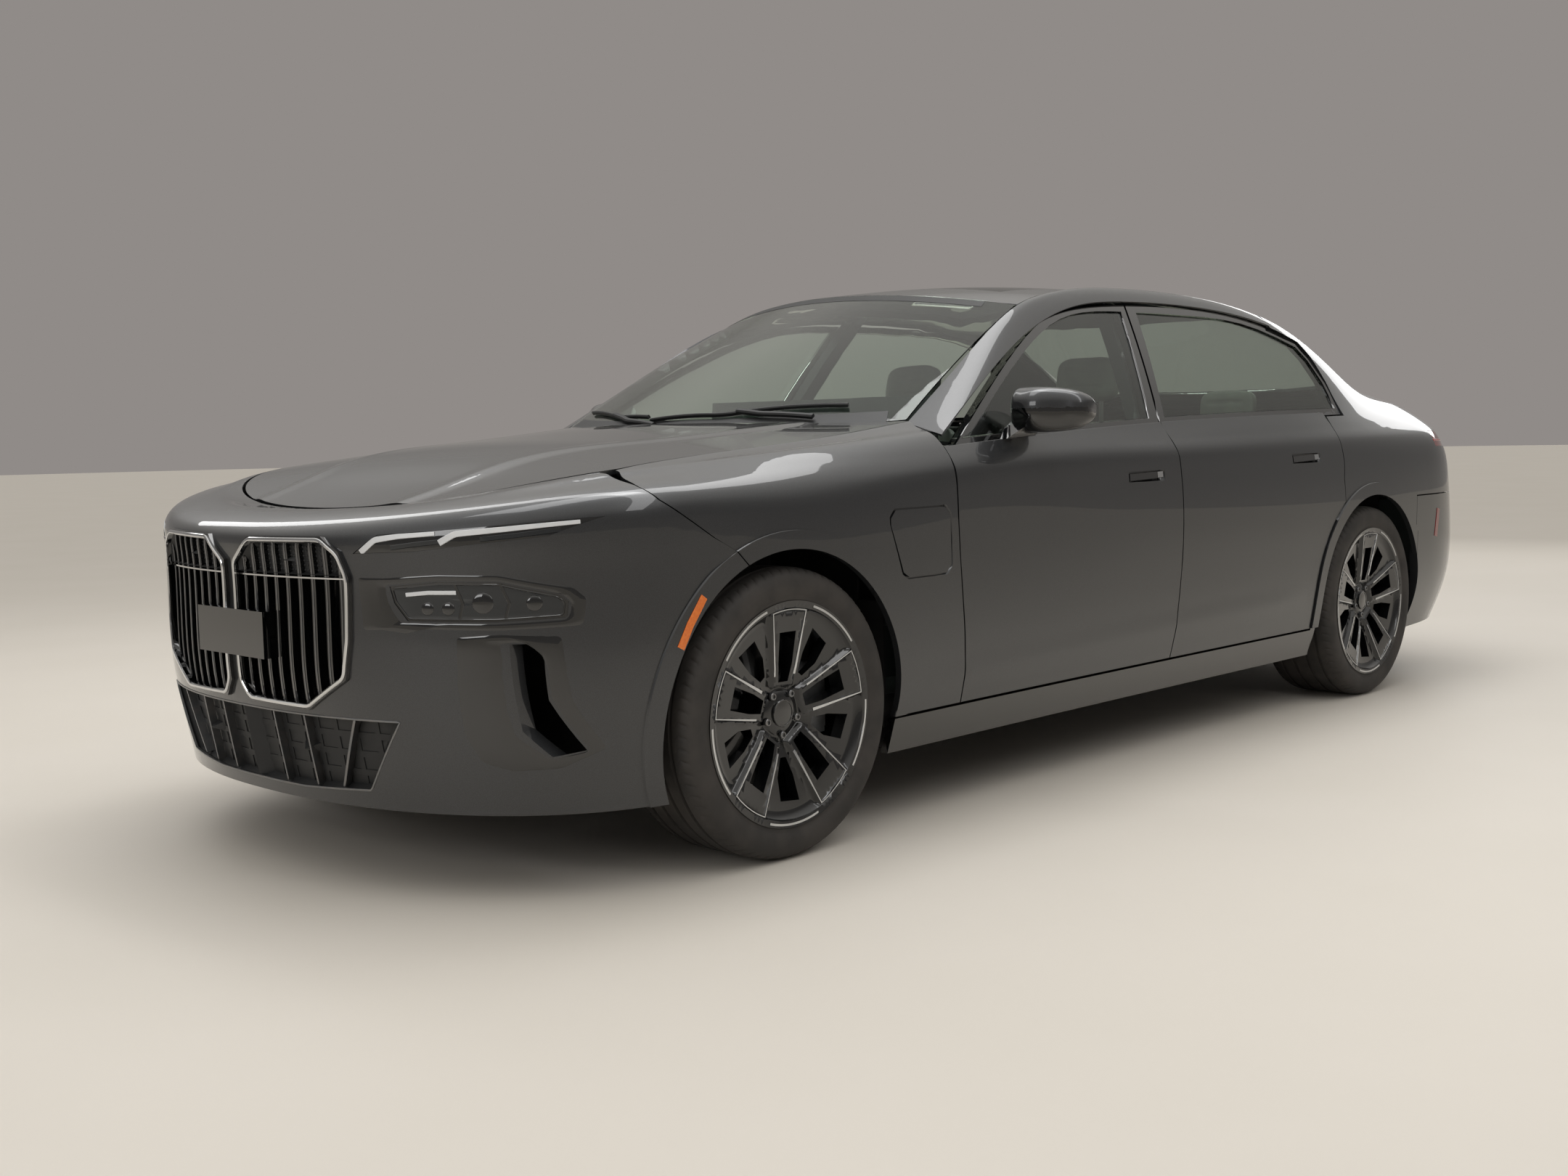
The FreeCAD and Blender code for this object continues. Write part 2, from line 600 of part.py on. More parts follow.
def window_outline(front, grow, pillar_grow):
    """Outline of a side window; the glass fills it, the frame surrounds it, wider at the middle pillar."""
    points = []
    if front:
        start, stop = DOOR_FRONT + 90 - 1.6 * grow, DOOR_MIDDLE - 45 + pillar_grow
        top_stop = DOOR_MIDDLE + 105 + pillar_grow
    else:
        start, stop = DOOR_MIDDLE + 45 - pillar_grow, DOOR_REAR + 125 + grow
        top_stop = DOOR_REAR + 60 + grow
    low = belt_z
    if front:
        for y in steps(start, top_stop, 16)[1 if grow < 0 else 0:]:
            points.append((y, max(window_top_z(y) - 14 + grow, low(y) + 14 - grow)))
        points += [(y, low(y) + 14 - grow) for y in steps(stop, start + 6, 8)]
    else:
        for y in steps(DOOR_MIDDLE + 195 - pillar_grow, top_stop, 10):
            points.append((y, window_top_z(y) - 14 + grow))
        points += [(DOOR_REAR + 105 + grow, 1285 + grow / 2), (DOOR_REAR + 135 + grow, 1200),
                   (stop + 12, low(stop) + 14 - grow)]
        points += [(y, low(y) + 14 - grow) for y in steps(stop - 20, start, 8)]
    return points


def write_door(front, side):
    word = ("front" if front else "rear") + ("_left" if side > 0 else "_right")
    y0 = (DOOR_FRONT if front else DOOR_MIDDLE) - 60
    y1 = (DOOR_MIDDLE + 60) if front else DOOR_REAR + 60
    skin = side_shell(y0, y1, 0, -SKIN)
    gap = SHUT_GAP / 2
    skin = skin.common(outline_prism(door_outline(front, gap, gap, 300, 0), 500, 1100))
    body = side_shell(y0, y1, -SKIN + 1, -DOOR_DEPTH)
    rear_step = DOOR_STEP_REAR
    body = body.common(outline_prism(door_outline(front, DOOR_STEP_FRONT, rear_step, 300 + DOOR_STEP_LOW, 4), 400, 1100))
    upper_y0 = y0 - 20
    upper_y1 = y1 + (120 if front else 160)
    plane = glass_grid(upper_y0, upper_y1, 20, lambda y: belt_z(y) - 30, lambda y: 1490, 9)
    lip = PILLAR_FRAME_FRONT if front else PILLAR_FRAME_REAR
    hole = outline_prism(window_outline(front, 0, 0), 300, 1100)
    frame = thick(plane, 0, -FRAME_LIP)
    frame = frame.common(outline_prism(window_outline(front, FRAME_WIDTH, lip), 300, 1100).cut(hole))
    deep = thick(plane, 1 - FRAME_LIP, -FRAME_DEPTH)
    ring = outline_prism(window_outline(front, FRAME_WIDTH - FRAME_LIP_WIDTH, PILLAR_FRAME_DEEP), 300, 1100)
    frame = fuse([frame, deep.common(ring.cut(hole))])
    door = fuse([skin, body, frame])
    handle_y = DOOR_MIDDLE - 190 if front else DOOR_REAR - 290
    handle_z = 893 if front else 922
    x = side_x(handle_y, handle_z)
    pocket = box(x - 18, x + 60, handle_y - 105, handle_y + 105, handle_z - 17, handle_z + 17)
    door = door.cut(pocket)
    glass = thick(plane, -GLASS_INSET, -GLASS_INSET - GLASS_THICKNESS)
    glass = glass.common(outline_prism(window_outline(front, -SEAT_GAP, -SEAT_GAP), 300, 1100))
    if side < 0:
        door, glass = mirror(door), mirror(glass)
    save("door_" + word, door)
    save("door_glass_" + word, glass)


def write_mirrors():
    """Door mirror: housing on a foot that stands on the door's belt."""
    rows = []
    for t, size in ((0, 0.9), (0.12, 0.97), (0.35, 1), (0.6, 0.97), (0.8, 0.87), (0.92, 0.72), (0.98, 0.55), (1, 0.4)):
        depth = (104 + 46 * math.sin(math.pi * min(1, 0.25 + t))) * size
        rear = MIRROR_REAR - 6 + 6 * size
        low, high = 1106 - 68 * size, 1106 + 66 * size - 10 * t
        row = []
        for a in steps(0, 360, 17)[:-1]:
            c, d = math.cos(math.radians(a)), math.sin(math.radians(a))
            c = math.copysign(abs(c) ** 0.7, c)
            d = math.copysign(abs(d) ** 0.75, d)
            row.append(Vector(886 + 210 * t, rear - depth / 2 * (1 - c), (low + high) / 2 + (high - low) / 2 * d))
        curve = Part.BSplineCurve()
        curve.interpolate(row, PeriodicFlag=True)
        rows.append(Part.Wire(curve.toShape()))
    housing = Part.makeLoft(rows, True)
    foot_x = side_x(MIRROR_REAR - 135, 1035)
    base = ((foot_x - 45, -215), (foot_x + 3, -215), (foot_x + 3, -60), (foot_x - 45, -60))
    head = ((foot_x - 8, -120), (foot_x + 62, -112), (foot_x + 62, -42), (foot_x - 8, -42))
    foot = []
    for corners, z in ((base, 1000), (head, 1070)):
        corners = [Vector(x, MIRROR_REAR + y, z) for x, y in corners]
        foot.append(Part.makePolygon(corners + corners[:1]))
    left = fuse([housing, Part.makeLoft(foot, True)])
    line = [(y, belt_z(y) + SEAT_GAP) for y in steps(DOOR_FRONT + 60, DOOR_FRONT + 560, 6)]
    left = left.cut(outline_prism(line + [(DOOR_FRONT + 560, 900), (DOOR_FRONT + 60, 900)], 700, 1150))
    plane = glass_grid(DOOR_FRONT + 50, DOOR_FRONT + 560, 10, lambda y: belt_z(y) - 30, lambda y: 1300)
    left = left.cut(thick(plane, SEAT_GAP, -80))
    for side, word in ((1, "left"), (-1, "right")):
        save("mirror_" + word, left if side > 0 else mirror(left))


# Nose
KIDNEY = ((18, 775), (95, 834), (365, 838), (418, 805), (440, 745), (436, 600), (420, 510), (290, 432), (55, 436),
          (20, 480))
LOWER_INTAKE = ((-538, 418), (538, 418), (425, 248), (200, 236), (-200, 236), (-425, 248))
RUNNING_LAMP = ((450, 800), (510, 843), (700, 857), (893, 876), (830, 836), (690, 818), (600, 806))
HEADLAMP = ((535, 727), (640, 738), (750, 736), (840, 706), (852, 690), (850, 655), (750, 648), (575, 650),
            (545, 690))
AIR_SLOT = ((768, 598), (808, 598), (820, 560), (822, 470), (858, 350), (812, 338), (776, 400))


def inset(points, distance):
    """A closed outline moved inwards by a distance, corner by corner."""
    n = len(points)
    area = sum(points[i][0] * points[(i + 1) % n][1] - points[(i + 1) % n][0] * points[i][1] for i in range(n))
    turn = 1 if area > 0 else -1
    result = []
    for i in range(n):
        (ax, az), (bx, bz), (cx, cz) = points[i - 1], points[i], points[(i + 1) % n]
        la, lc = math.hypot(bx - ax, bz - az), math.hypot(cx - bx, cz - bz)
        n1 = (-(bz - az) / la * turn, (bx - ax) / la * turn)
        n2 = (-(cz - bz) / lc * turn, (cx - bx) / lc * turn)
        k = distance / (1 + n1[0] * n2[0] + n1[1] * n2[1])
        result.append((bx + k * (n1[0] + n2[0]), bz + k * (n1[1] + n2[1])))
    return result


NOSE_TOP = 0.97
PLATE_HALF_WIDTH = 158
PLATE_HALF_HEIGHT = 56
PLATE_HEIGHT = 600


def half_wall(outer, inner, s0, s1, v0, v1, count=18, cabin=False):
    return thick(wall_grid(s0, s1, count, v0, v1, cabin), outer, inner)


def front_cut(points):
    return front_prism(points, NOSE - 50, AXLE_FRONT - 420)


def write_nose():
    split = side_s(AXLE_FRONT - 100)
    left = half_wall(0, -SKIN, 0.0, split, 0.0, NOSE_TOP, 26)
    keep = outline_prism([(NOSE - 50, 150), (NOSE - 50, 1100)] + bumper_split(-SHUT_GAP / 2)
                         + [(AXLE_FRONT - 150, 150)], -10, 1100)
    left = left.common(keep).cut(arch_cylinder(True, ARCH_RADIUS))
    band = arch_band(True, AXLE_FRONT - 470, AXLE_FRONT - 60).common(keep)
    left = fuse([left, band])
    for hole in (KIDNEY, RUNNING_LAMP, HEADLAMP, AIR_SLOT):
        left = left.cut(front_cut(hole))
    edge = [on_outline(RING_WIDTH[0], RINGS[0][2], RINGS[0][3], s) for s in steps(0, 0.6, 8)]
    plan = [(x, y + 12) for x, y in edge] + [(edge[-1][0] - 40, AXLE_FRONT - 470), (0, AXLE_FRONT - 470)]
    shelf = plan_prism(plan, 205, 217)
    left = fuse([left, shelf])
    nose = fuse([left, mirror(left)]).cut(front_cut(LOWER_INTAKE))
    reach = PLATE_HALF_HEIGHT + SEAT_GAP
    save("front_bumper", nose.cut(box(-30, 30, NOSE - 50, NOSE + 90, PLATE_HEIGHT - reach, PLATE_HEIGHT + reach)))
    write_grille()
    write_lamps()


def write_grille():
    """Two tall upright grilles with frames and vertical slats, on one carrier with a blank plate holder."""
    frame = half_wall(9, -30, 0.0, 0.62, 0.05, 0.64)
    frame = frame.common(front_cut(inset(KIDNEY, SEAT_GAP))).cut(front_cut(inset(KIDNEY, 13)))
    slats = half_wall(-6, -28, 0.0, 0.62, 0.05, 0.64)
    pieces = [frame]
    for i in range(9):
        x = 52 + i * 44
        blade = box(x - 7, x + 7, NOSE - 20, NOSE + 400, 430, 850).common(front_cut(inset(KIDNEY, 8)))
        pieces.append(slats.common(blade))
    pieces.append(box(-5, PLATE_HALF_WIDTH, NOSE + 1, NOSE + 33, PLATE_HEIGHT - PLATE_HALF_HEIGHT,
                      PLATE_HEIGHT + PLATE_HALF_HEIGHT))
    left = fuse(pieces)
    upper = fuse([left, mirror(left)])
    intake = half_wall(-26, -34, 0.0, 0.75, -0.03, 0.3)
    outline = inset(LOWER_INTAKE, -14)
    net = intake.common(front_cut(outline))
    for i in range(8):
        x = 42 + i * 62
        for z in steps(258, 394, 4):
            net = net.cut(box(x - 24, x + 24, NOSE - 50, NOSE + 500, z - 12, z + 18))
    lower = fuse([net, mirror(net)])
    save("front_grille", Part.makeCompound([upper, lower]))


def write_lamps():
    wall = half_wall(-2, -SKIN, 0.25, 1.0, 0.3, 0.78)
    lamps = [wall.common(front_cut(inset(outline, SEAT_GAP))) for outline in (RUNNING_LAMP, HEADLAMP)]
    save("headlamps", both(Part.makeCompound(lamps)))


def bonnet_grid(margin=SHUT_GAP + 1, front_gap=8.0, rear_gap=0.0):
    rows = []
    for a in steps(-1, 1, 21):
        edge = section(abs(a))(NOSE_TOP)
        rear_y = BONNET_REAR_MIDDLE + (BONNET_REAR_EDGE - BONNET_REAR_MIDDLE) * a * a - rear_gap
        row = []
        for b in steps(0, 1, 17):
            y = edge.y + front_gap + (rear_y - edge.y - front_gap) * b
            x = edge.x + (abs(a) * bonnet_half_width(rear_y) - edge.x) * b
            x *= (bonnet_half_width(y) - margin) / bonnet_half_width(y)
            x = math.copysign(x, a) if abs(a) > 1e-9 else 0.0
            row.append(Vector(x, y, bonnet_height(x, y)))
        rows.append(row)
    return rows


def write_bonnet():
    skin = thick(bonnet_grid(), 0, -12)
    frame = thick(bonnet_grid(SHUT_GAP + 22, 42, 24), -11, -BONNET_THICKNESS)
    line = [(bonnet_half_width(y) - SHUT_GAP, y) for y in steps(AXLE_FRONT - 500, DOOR_FRONT + 40, 9)]
    outside = plan_prism(line + [(900, DOOR_FRONT + 40), (900, AXLE_FRONT - 500)], 880, 1200)
    save("bonnet", fuse([skin, frame]).cut(outside).cut(mirror(outside)))


def save_glass(name, grid):
    """Screen, kept a little off the roof's edge."""
    save(name, thick(grid, 0, -GLASS_THICKNESS).cut(thick(roof_grid(SEAT_GAP), 2, -32)))


def screen_grid(base_middle, base_edge, top_middle, top_edge, bulge, shrink):
    """Grid on a curved screen between its bottom and top edges, which bow towards the middle of the car."""
    rows = []
    for a in steps(-1, 1, 19):
        y0 = base_middle[0] + (base_edge - base_middle[0]) * a * a
        y1 = top_middle + (top_edge - top_middle) * a * a
        z0 = base_middle[1] + (edge_height(base_edge) - base_middle[1]) * a * a
        z1 = roof_height(top_middle) + (edge_height(top_edge) - roof_height(top_middle)) * a * a
        x0 = (edge_half_width(base_edge) - shrink) * a
        x1 = (edge_half_width(top_edge) - shrink) * a
        row = []
        for b in steps(0, 1, 11):
            swell = 4 * b * (1 - b)
            x_edge = edge_half_width(base_edge + (top_edge - base_edge) * b) - shrink
            x = (x0 + (x1 - x0) * b) * (1 - swell) + x_edge * a * swell
            row.append(Vector(x, y0 + (y1 - y0) * b, z0 + (z1 - z0) * b + bulge * swell))
        rows.append(row)
    return rows


def windscreen_grid(shrink=0.0):
    return screen_grid(SCREEN_BASE_MIDDLE, SCREEN_BASE_EDGE, SCREEN_TOP_MIDDLE, SCREEN_TOP_EDGE, 17, shrink)


def rear_window_grid(shrink=0.0):
    return screen_grid(REAR_BASE_MIDDLE, REAR_BASE_EDGE, REAR_TOP_MIDDLE, REAR_TOP_EDGE, 14, shrink)


def roof_grid(grow=0.0):
    rows = []
    for a in steps(-1, 1, 21):
        row = []
        y0 = SCREEN_TOP_MIDDLE + (SCREEN_TOP_EDGE - SCREEN_TOP_MIDDLE) * a * a - grow
        y1 = REAR_TOP_MIDDLE + (REAR_TOP_EDGE - REAR_TOP_MIDDLE) * a * a + grow
        for b in steps(0, 1, 19):
            y = y0 + (y1 - y0) * b
            x = edge_half_width(y) * a
            row.append(Vector(x, y, roof_height(y) + (edge_height(y) - roof_height(y)) * abs(a) ** 2.2))
        rows.append(row)
    return rows


def wall_at_x(x, v):
    """Point of the tail's wall at half width x, at v."""
    low, high = 2.2, 3.0
    for _ in range(26):
        middle = (low + high) / 2
        if section(middle, True)(v).x > x:
            low = middle
        else:
            high = middle
    return section(low, True)(v)


def boot_grid(half, gap, v_low=0.42):
    """Grid over the boot lid: from the rear window back to the lip, then down the tail.

    Its top follows the body's edge at a gap, and its rear face is as wide as half on each side.
    """
    start, stop = side_s(REAR_BASE_EDGE + 10), 3.0
    while on_outline(edge_half_width, 0, EDGE_BACK, stop)[0] < half + gap:
        stop -= 0.002
    side = [on_outline(edge_half_width, 0, EDGE_BACK, s) for s in steps(start, stop, 9)]
    rows = []
    for a in steps(0, 1, 11):
        y0 = REAR_BASE_MIDDLE[0] + 10 + (side[0][1] - REAR_BASE_MIDDLE[0] - 10) * a * a
        lip = wall_at_x(half * a, 1.0) if a > 0 else section(3.0, True)(1.0)
        row = []
        for b, (x_side, y_side) in enumerate(side[:-1]):
            share = (y_side - side[0][1]) / (side[-1][1] - side[0][1])
            y = y0 + (lip.y - y0) * share
            row.append(Vector((x_side - gap) * a, y, edge_height(y) + 14 * (1 - a * a) * (1 - share * share)))
        for v in steps(1.0, v_low, 15):
            p = wall_at_x(half * a, v) if a > 0 else section(3.0, True)(v)
            row.append(Vector(half * a, p.y, p.z))
        rows.append(row)
    return [[Vector(-p.x, p.y, p.z) for p in row] for row in rows[:0:-1]] + rows


def tail_wall(outer, inner, s0=2.0, v0=0.0, v1=1.0, count=22):
    return half_wall(outer, inner, s0, 3.0, v0, v1, count, True)


TAIL_LAMP = ((480, 988), (900, 1004), (1000, 1010), (1000, 945), (900, 940), (480, 950))
TAIL_LAMP_FRONT = AXLE_FRONT + 3850


def tail_cut(points):
    return front_prism(points, TAIL_LAMP_FRONT, TAIL + 50)


def write_tail():
    gap = SHUT_GAP / 2
    outer = boot_grid(BOOT_HALF_WIDTH - gap, SHUT_GAP)
    lid = thick(outer, 0, -16)
    lid = lid.common(box(-700, 700, AXLE_REAR, TAIL + 50, BOOT_SPLIT_HEIGHT + gap, 1300))
    lamp = tail_cut(TAIL_LAMP)
    lid = lid.cut(lamp).cut(mirror(lamp))
    save("boot_lid", lid)
    lamps = tail_wall(-2, -THIN_SKIN, 2.0, 0.4, 0.86).common(tail_cut(inset(TAIL_LAMP, SEAT_GAP)))
    lamps = lamps.cut(box(0, 1100, TAIL_LAMP_FRONT - 10, TAIL_LAMP_FRONT + SEAT_GAP, 900, 1100))
    inside = box(0, BOOT_HALF_WIDTH - gap - 0.5, AXLE_REAR, TAIL + 50, 900, 1100)
    outside = box(0, BOOT_HALF_WIDTH + gap + 0.5, AXLE_REAR, TAIL + 50, 900, 1100)
    save("tail_lamps", both(lamps.cut(outside)))
    save("lid_lamps", both(lamps.common(inside)))
    split = AXLE_REAR + 380
    half = half_wall(0, -SKIN, side_s(split), 3.0, 0.0, 0.5, 26, True)
    keep = outline_prism(((split, 150), (split, BOOT_SPLIT_HEIGHT - gap), (TAIL + 50, BOOT_SPLIT_HEIGHT - gap),
                          (TAIL + 50, 150)), -10, 1100)
    half = half.common(keep).cut(arch_cylinder(False, ARCH_RADIUS))
    band = arch_band(False, AXLE_REAR - 20, AXLE_REAR + 470, True).common(keep)
    half = fuse([half, band])
    save("rear_bumper", fuse([half, mirror(half)]))


# Body
def door_gap_prism(front):
    """What a door with its gap takes out of the body's outer skin."""
    gap = SHUT_GAP / 2
    low = outline_prism(door_outline(front, -gap, -gap, 300, -20), 500, 1100)
    window = outline_prism(window_outline(front, FRAME_WIDTH + SHUT_GAP, 60), 300, 1100)
    return [low, window]


def quarter_panel(flap):
    """Left side behind the rear door, round to the boot lid, up to the roof's edge."""
    y0 = DOOR_REAR - 90
    shell = half_wall(0, -THIN_SKIN, side_s(y0), 3.0, 0.0, 1.0, 40, True)
    for tool in door_gap_prism(False):
        shell = shell.cut(tool)
    split = AXLE_REAR + 380
    shell = shell.cut(arch_cylinder(False, ARCH_RADIUS))
    shell = shell.cut(box(-50, 1100, split - SHUT_GAP / 2, TAIL + 50, 100, BOOT_SPLIT_HEIGHT + SHUT_GAP / 2))
    shell = shell.cut(tail_cut(TAIL_LAMP))
    shell = shell.cut(box(-50, BOOT_HALF_WIDTH + SHUT_GAP / 2, AXLE_REAR + 200, TAIL + 50, 100, 1300))
    line = [(edge_half_width(y), y) for y in steps(REAR_BASE_EDGE + 8, REAR_CORNER + 60, 8)]
    shell = shell.cut(plan_prism(line + [(400, REAR_CORNER + 60), (400, REAR_BASE_EDGE + 8)], 1000, 1300))
    band = arch_band(False, AXLE_REAR - 480, AXLE_REAR + 480, True)
    band = band.cut(box(-50, 1100, split - SHUT_GAP / 2, TAIL, 100, BOOT_SPLIT_HEIGHT + SHUT_GAP / 2))
    band = band.cut(box(500, 1100, AXLE_REAR - 500, AXLE_REAR, 100, 300))
    shell = fuse([shell, band])
    if flap:
        shell = shell.cut(outline_prism(fuel_flap_points(SHUT_GAP), 600, 1100))
        tray = side_shell(AXLE_REAR + 330, AXLE_REAR + 610, -THIN_SKIN + 1, -THIN_SKIN - 22, 8, 0.66)
        tray = tray.common(outline_prism(fuel_flap_points(SHUT_GAP + 12), 600, 1100))
        shell = fuse([shell, tray, flap_bracket(AXLE_REAR + 382, 890, True)])
    return shell


def pillars():
    """Left pillars and roof edge: thin outer skin with the load-bearing sections behind the doors."""
    strip = thick(side_grid(DOOR_FRONT + 8, DOOR_REAR - 60, 34, 0.862, 0.99, True, 7), 0, -6)
    post = thick(side_grid(DOOR_FRONT - 15, DOOR_FRONT + 760, 16, 0.93, 0.998, True, 7), -5, -40)
    rail = thick(side_grid(DOOR_FRONT + 700, DOOR_REAR - 60, 20, 0.965, 0.998, True, 7), -5, -22)
    foot = box(790, 845, DOOR_FRONT - 75, DOOR_FRONT + 20, 345.3, 1022)
    heights = steps(345.3, 1050, 9)
    ahead = [(door_middle_y(z) - DOOR_STEP_REAR + PILLAR_CLEARANCE, z) for z in heights]
    behind = [(door_middle_y(z) + DOOR_STEP_FRONT - PILLAR_CLEARANCE, z) for z in heights]
    low = side_shell(DOOR_MIDDLE - 120, DOOR_MIDDLE + 120, -SKIN - PILLAR_CLEARANCE, -DOOR_DEPTH, 6, 0.7)
    low = low.common(outline_prism(ahead + behind[::-1], 500, 1100))
    high = thick(glass_grid(DOOR_MIDDLE - 80, DOOR_MIDDLE + 240, 8, lambda y: belt_z(y) - 60, lambda y: 1530, 9),
                 -FRAME_DEPTH - PILLAR_CLEARANCE, -86)
    line = ((-7, 1035), (-4, 1050), (146, 1450), (160, 1491))
    shape = [(DOOR_MIDDLE - 44 + y, z) for y, z in line] + [(DOOR_MIDDLE + 26 + y, z) for y, z in line[::-1]]
    high = high.common(outline_prism(shape, 400, 1100))
    return [strip, post, rail, foot, low, high]


def write_body():
    roof = thick(roof_grid(), 0, -30)
    opening = plan_prism(((-500, AXLE_FRONT + 1480), (500, AXLE_FRONT + 1480), (500, AXLE_FRONT + 2560),
                          (-500, AXLE_FRONT + 2560)), 1300, 1700)
    glass = thick(roof_grid(), 0, -7).common(plan_prism((
        (-499.7, AXLE_FRONT + 1480.3), (499.7, AXLE_FRONT + 1480.3), (499.7, AXLE_FRONT + 2559.7),
        (-499.7, AXLE_FRONT + 2559.7)), 1300, 1700))
    save("roof_glass", glass)
    posts = pillars()
    left = fuse([quarter_panel(False)] + posts)
    right = fuse([quarter_panel(True)] + posts)
    save("body_frame", fuse([roof.cut(opening), left, mirror(right)]))
    flap = side_shell(AXLE_REAR + 350, AXLE_REAR + 590, 0, -6, 8, 0.66)
    save("fuel_flap", mirror(flap.common(outline_prism(fuel_flap_points(0), 600, 1100))))
    save_glass("windscreen", windscreen_grid(6))
    save_glass("rear_window", rear_window_grid(6))


def write_sills():
    left = side_shell(AXLE_FRONT + ARCH_RADIUS + 4, AXLE_REAR - ARCH_RADIUS - 4, 0, -22, 20, 0.1)
    keep = box(500, 1100, AXLE_FRONT, AXLE_REAR, TRIM_LOW, PANEL_LOW - 8)
    seat = box(500, 1100, AXLE_REAR - 448, AXLE_REAR, TRIM_LOW, PANEL_LOW - SEAT_GAP)
    save("sill_trims", both(left.common(keep.fuse(seat))))


# Floor and running gear
JACK_HEIGHT = 190


def house(front):
    """Left wheelhouse: inner wall, front and rear walls and top."""
    y = AXLE_FRONT if front else AXLE_REAR
    x = 455 if front else 645
    wall = box(x, x + 12, y - 440, y + 440, 260, 792)
    walls = [wall]
    for y0 in (y - 440, y + 430):
        walls.append(box(x, 880, y0, y0 + 10, 260, 600))
        walls.append(box(x, 790, y0, y0 + 10, 600, 792))
    walls.append(box(x, 800, y - 440, y + 440, 780, 792))
    return walls


def write_floor():
    y0, y1 = AXLE_FRONT + 430, AXLE_REAR - 430
    left = [box(-1, 862, y0, y1, 205, 225)]
    left.append(box(784, 862, y0, y1, 205, 345))
    for pad in (y0 + 90, y1 - 90):
        left.append(box(790, 850, pad - 40, pad + 40, JACK_HEIGHT, 206))
    left.append(box(130, 146, y0 + 80, y1, 224, 400))
    left.append(box(-1, 146, y0 + 80, y1, 388, 400))
    left.append(box(-1, 784, y0 + 70, y0 + 84, 224, 980))
    left += house(True)
    left += house(False)
    left.append(box(380, 456, NOSE + 300, y0 + 80, 400, 500))
    left.append(box(-1, 460, NOSE + 300, NOSE + 340, 430, 560))
    left.append(box(-1, 400, NOSE + 338, NOSE + 375, 300, 800))
    left.append(box(-1, 646, y1 - 10, TAIL - 180, 400, 416))
    left.append(box(-1, 784, y1 - 12, y1, 224, 416))
    left.append(box(-1, 700, TAIL - 192, TAIL - 180, 300, 700))
    left.append(box(-1, 646, AXLE_REAR - 30, AXLE_REAR - 16, 415, 1050))
    left.append(box(-1, 600, AXLE_REAR - 30, AXLE_REAR + 330, 1040, 1052))
    half = fuse(left)
    half = half.cut(box(872, 900, AXLE_FRONT - 441, AXLE_FRONT - 429, 250, 298))
    half = half.cut(box(590, 710, TAIL - 193, TAIL - 179, 290, 394))
    half = half.cut(box(640, 662, AXLE_REAR - 50, AXLE_REAR + 50, 250, TYRE_RADIUS + 50))
    save("floor_pan", fuse([half, mirror(half)]))
    engine = [box(-250, 250, AXLE_FRONT - 170, AXLE_FRONT + 440, 340, 900)]
    for y in (AXLE_FRONT - 170, AXLE_FRONT + 125):
        engine.append(box(-120, 120, y, y + 45, 300 + SEAT_GAP, 341))
    save("engine_block", fuse(engine))


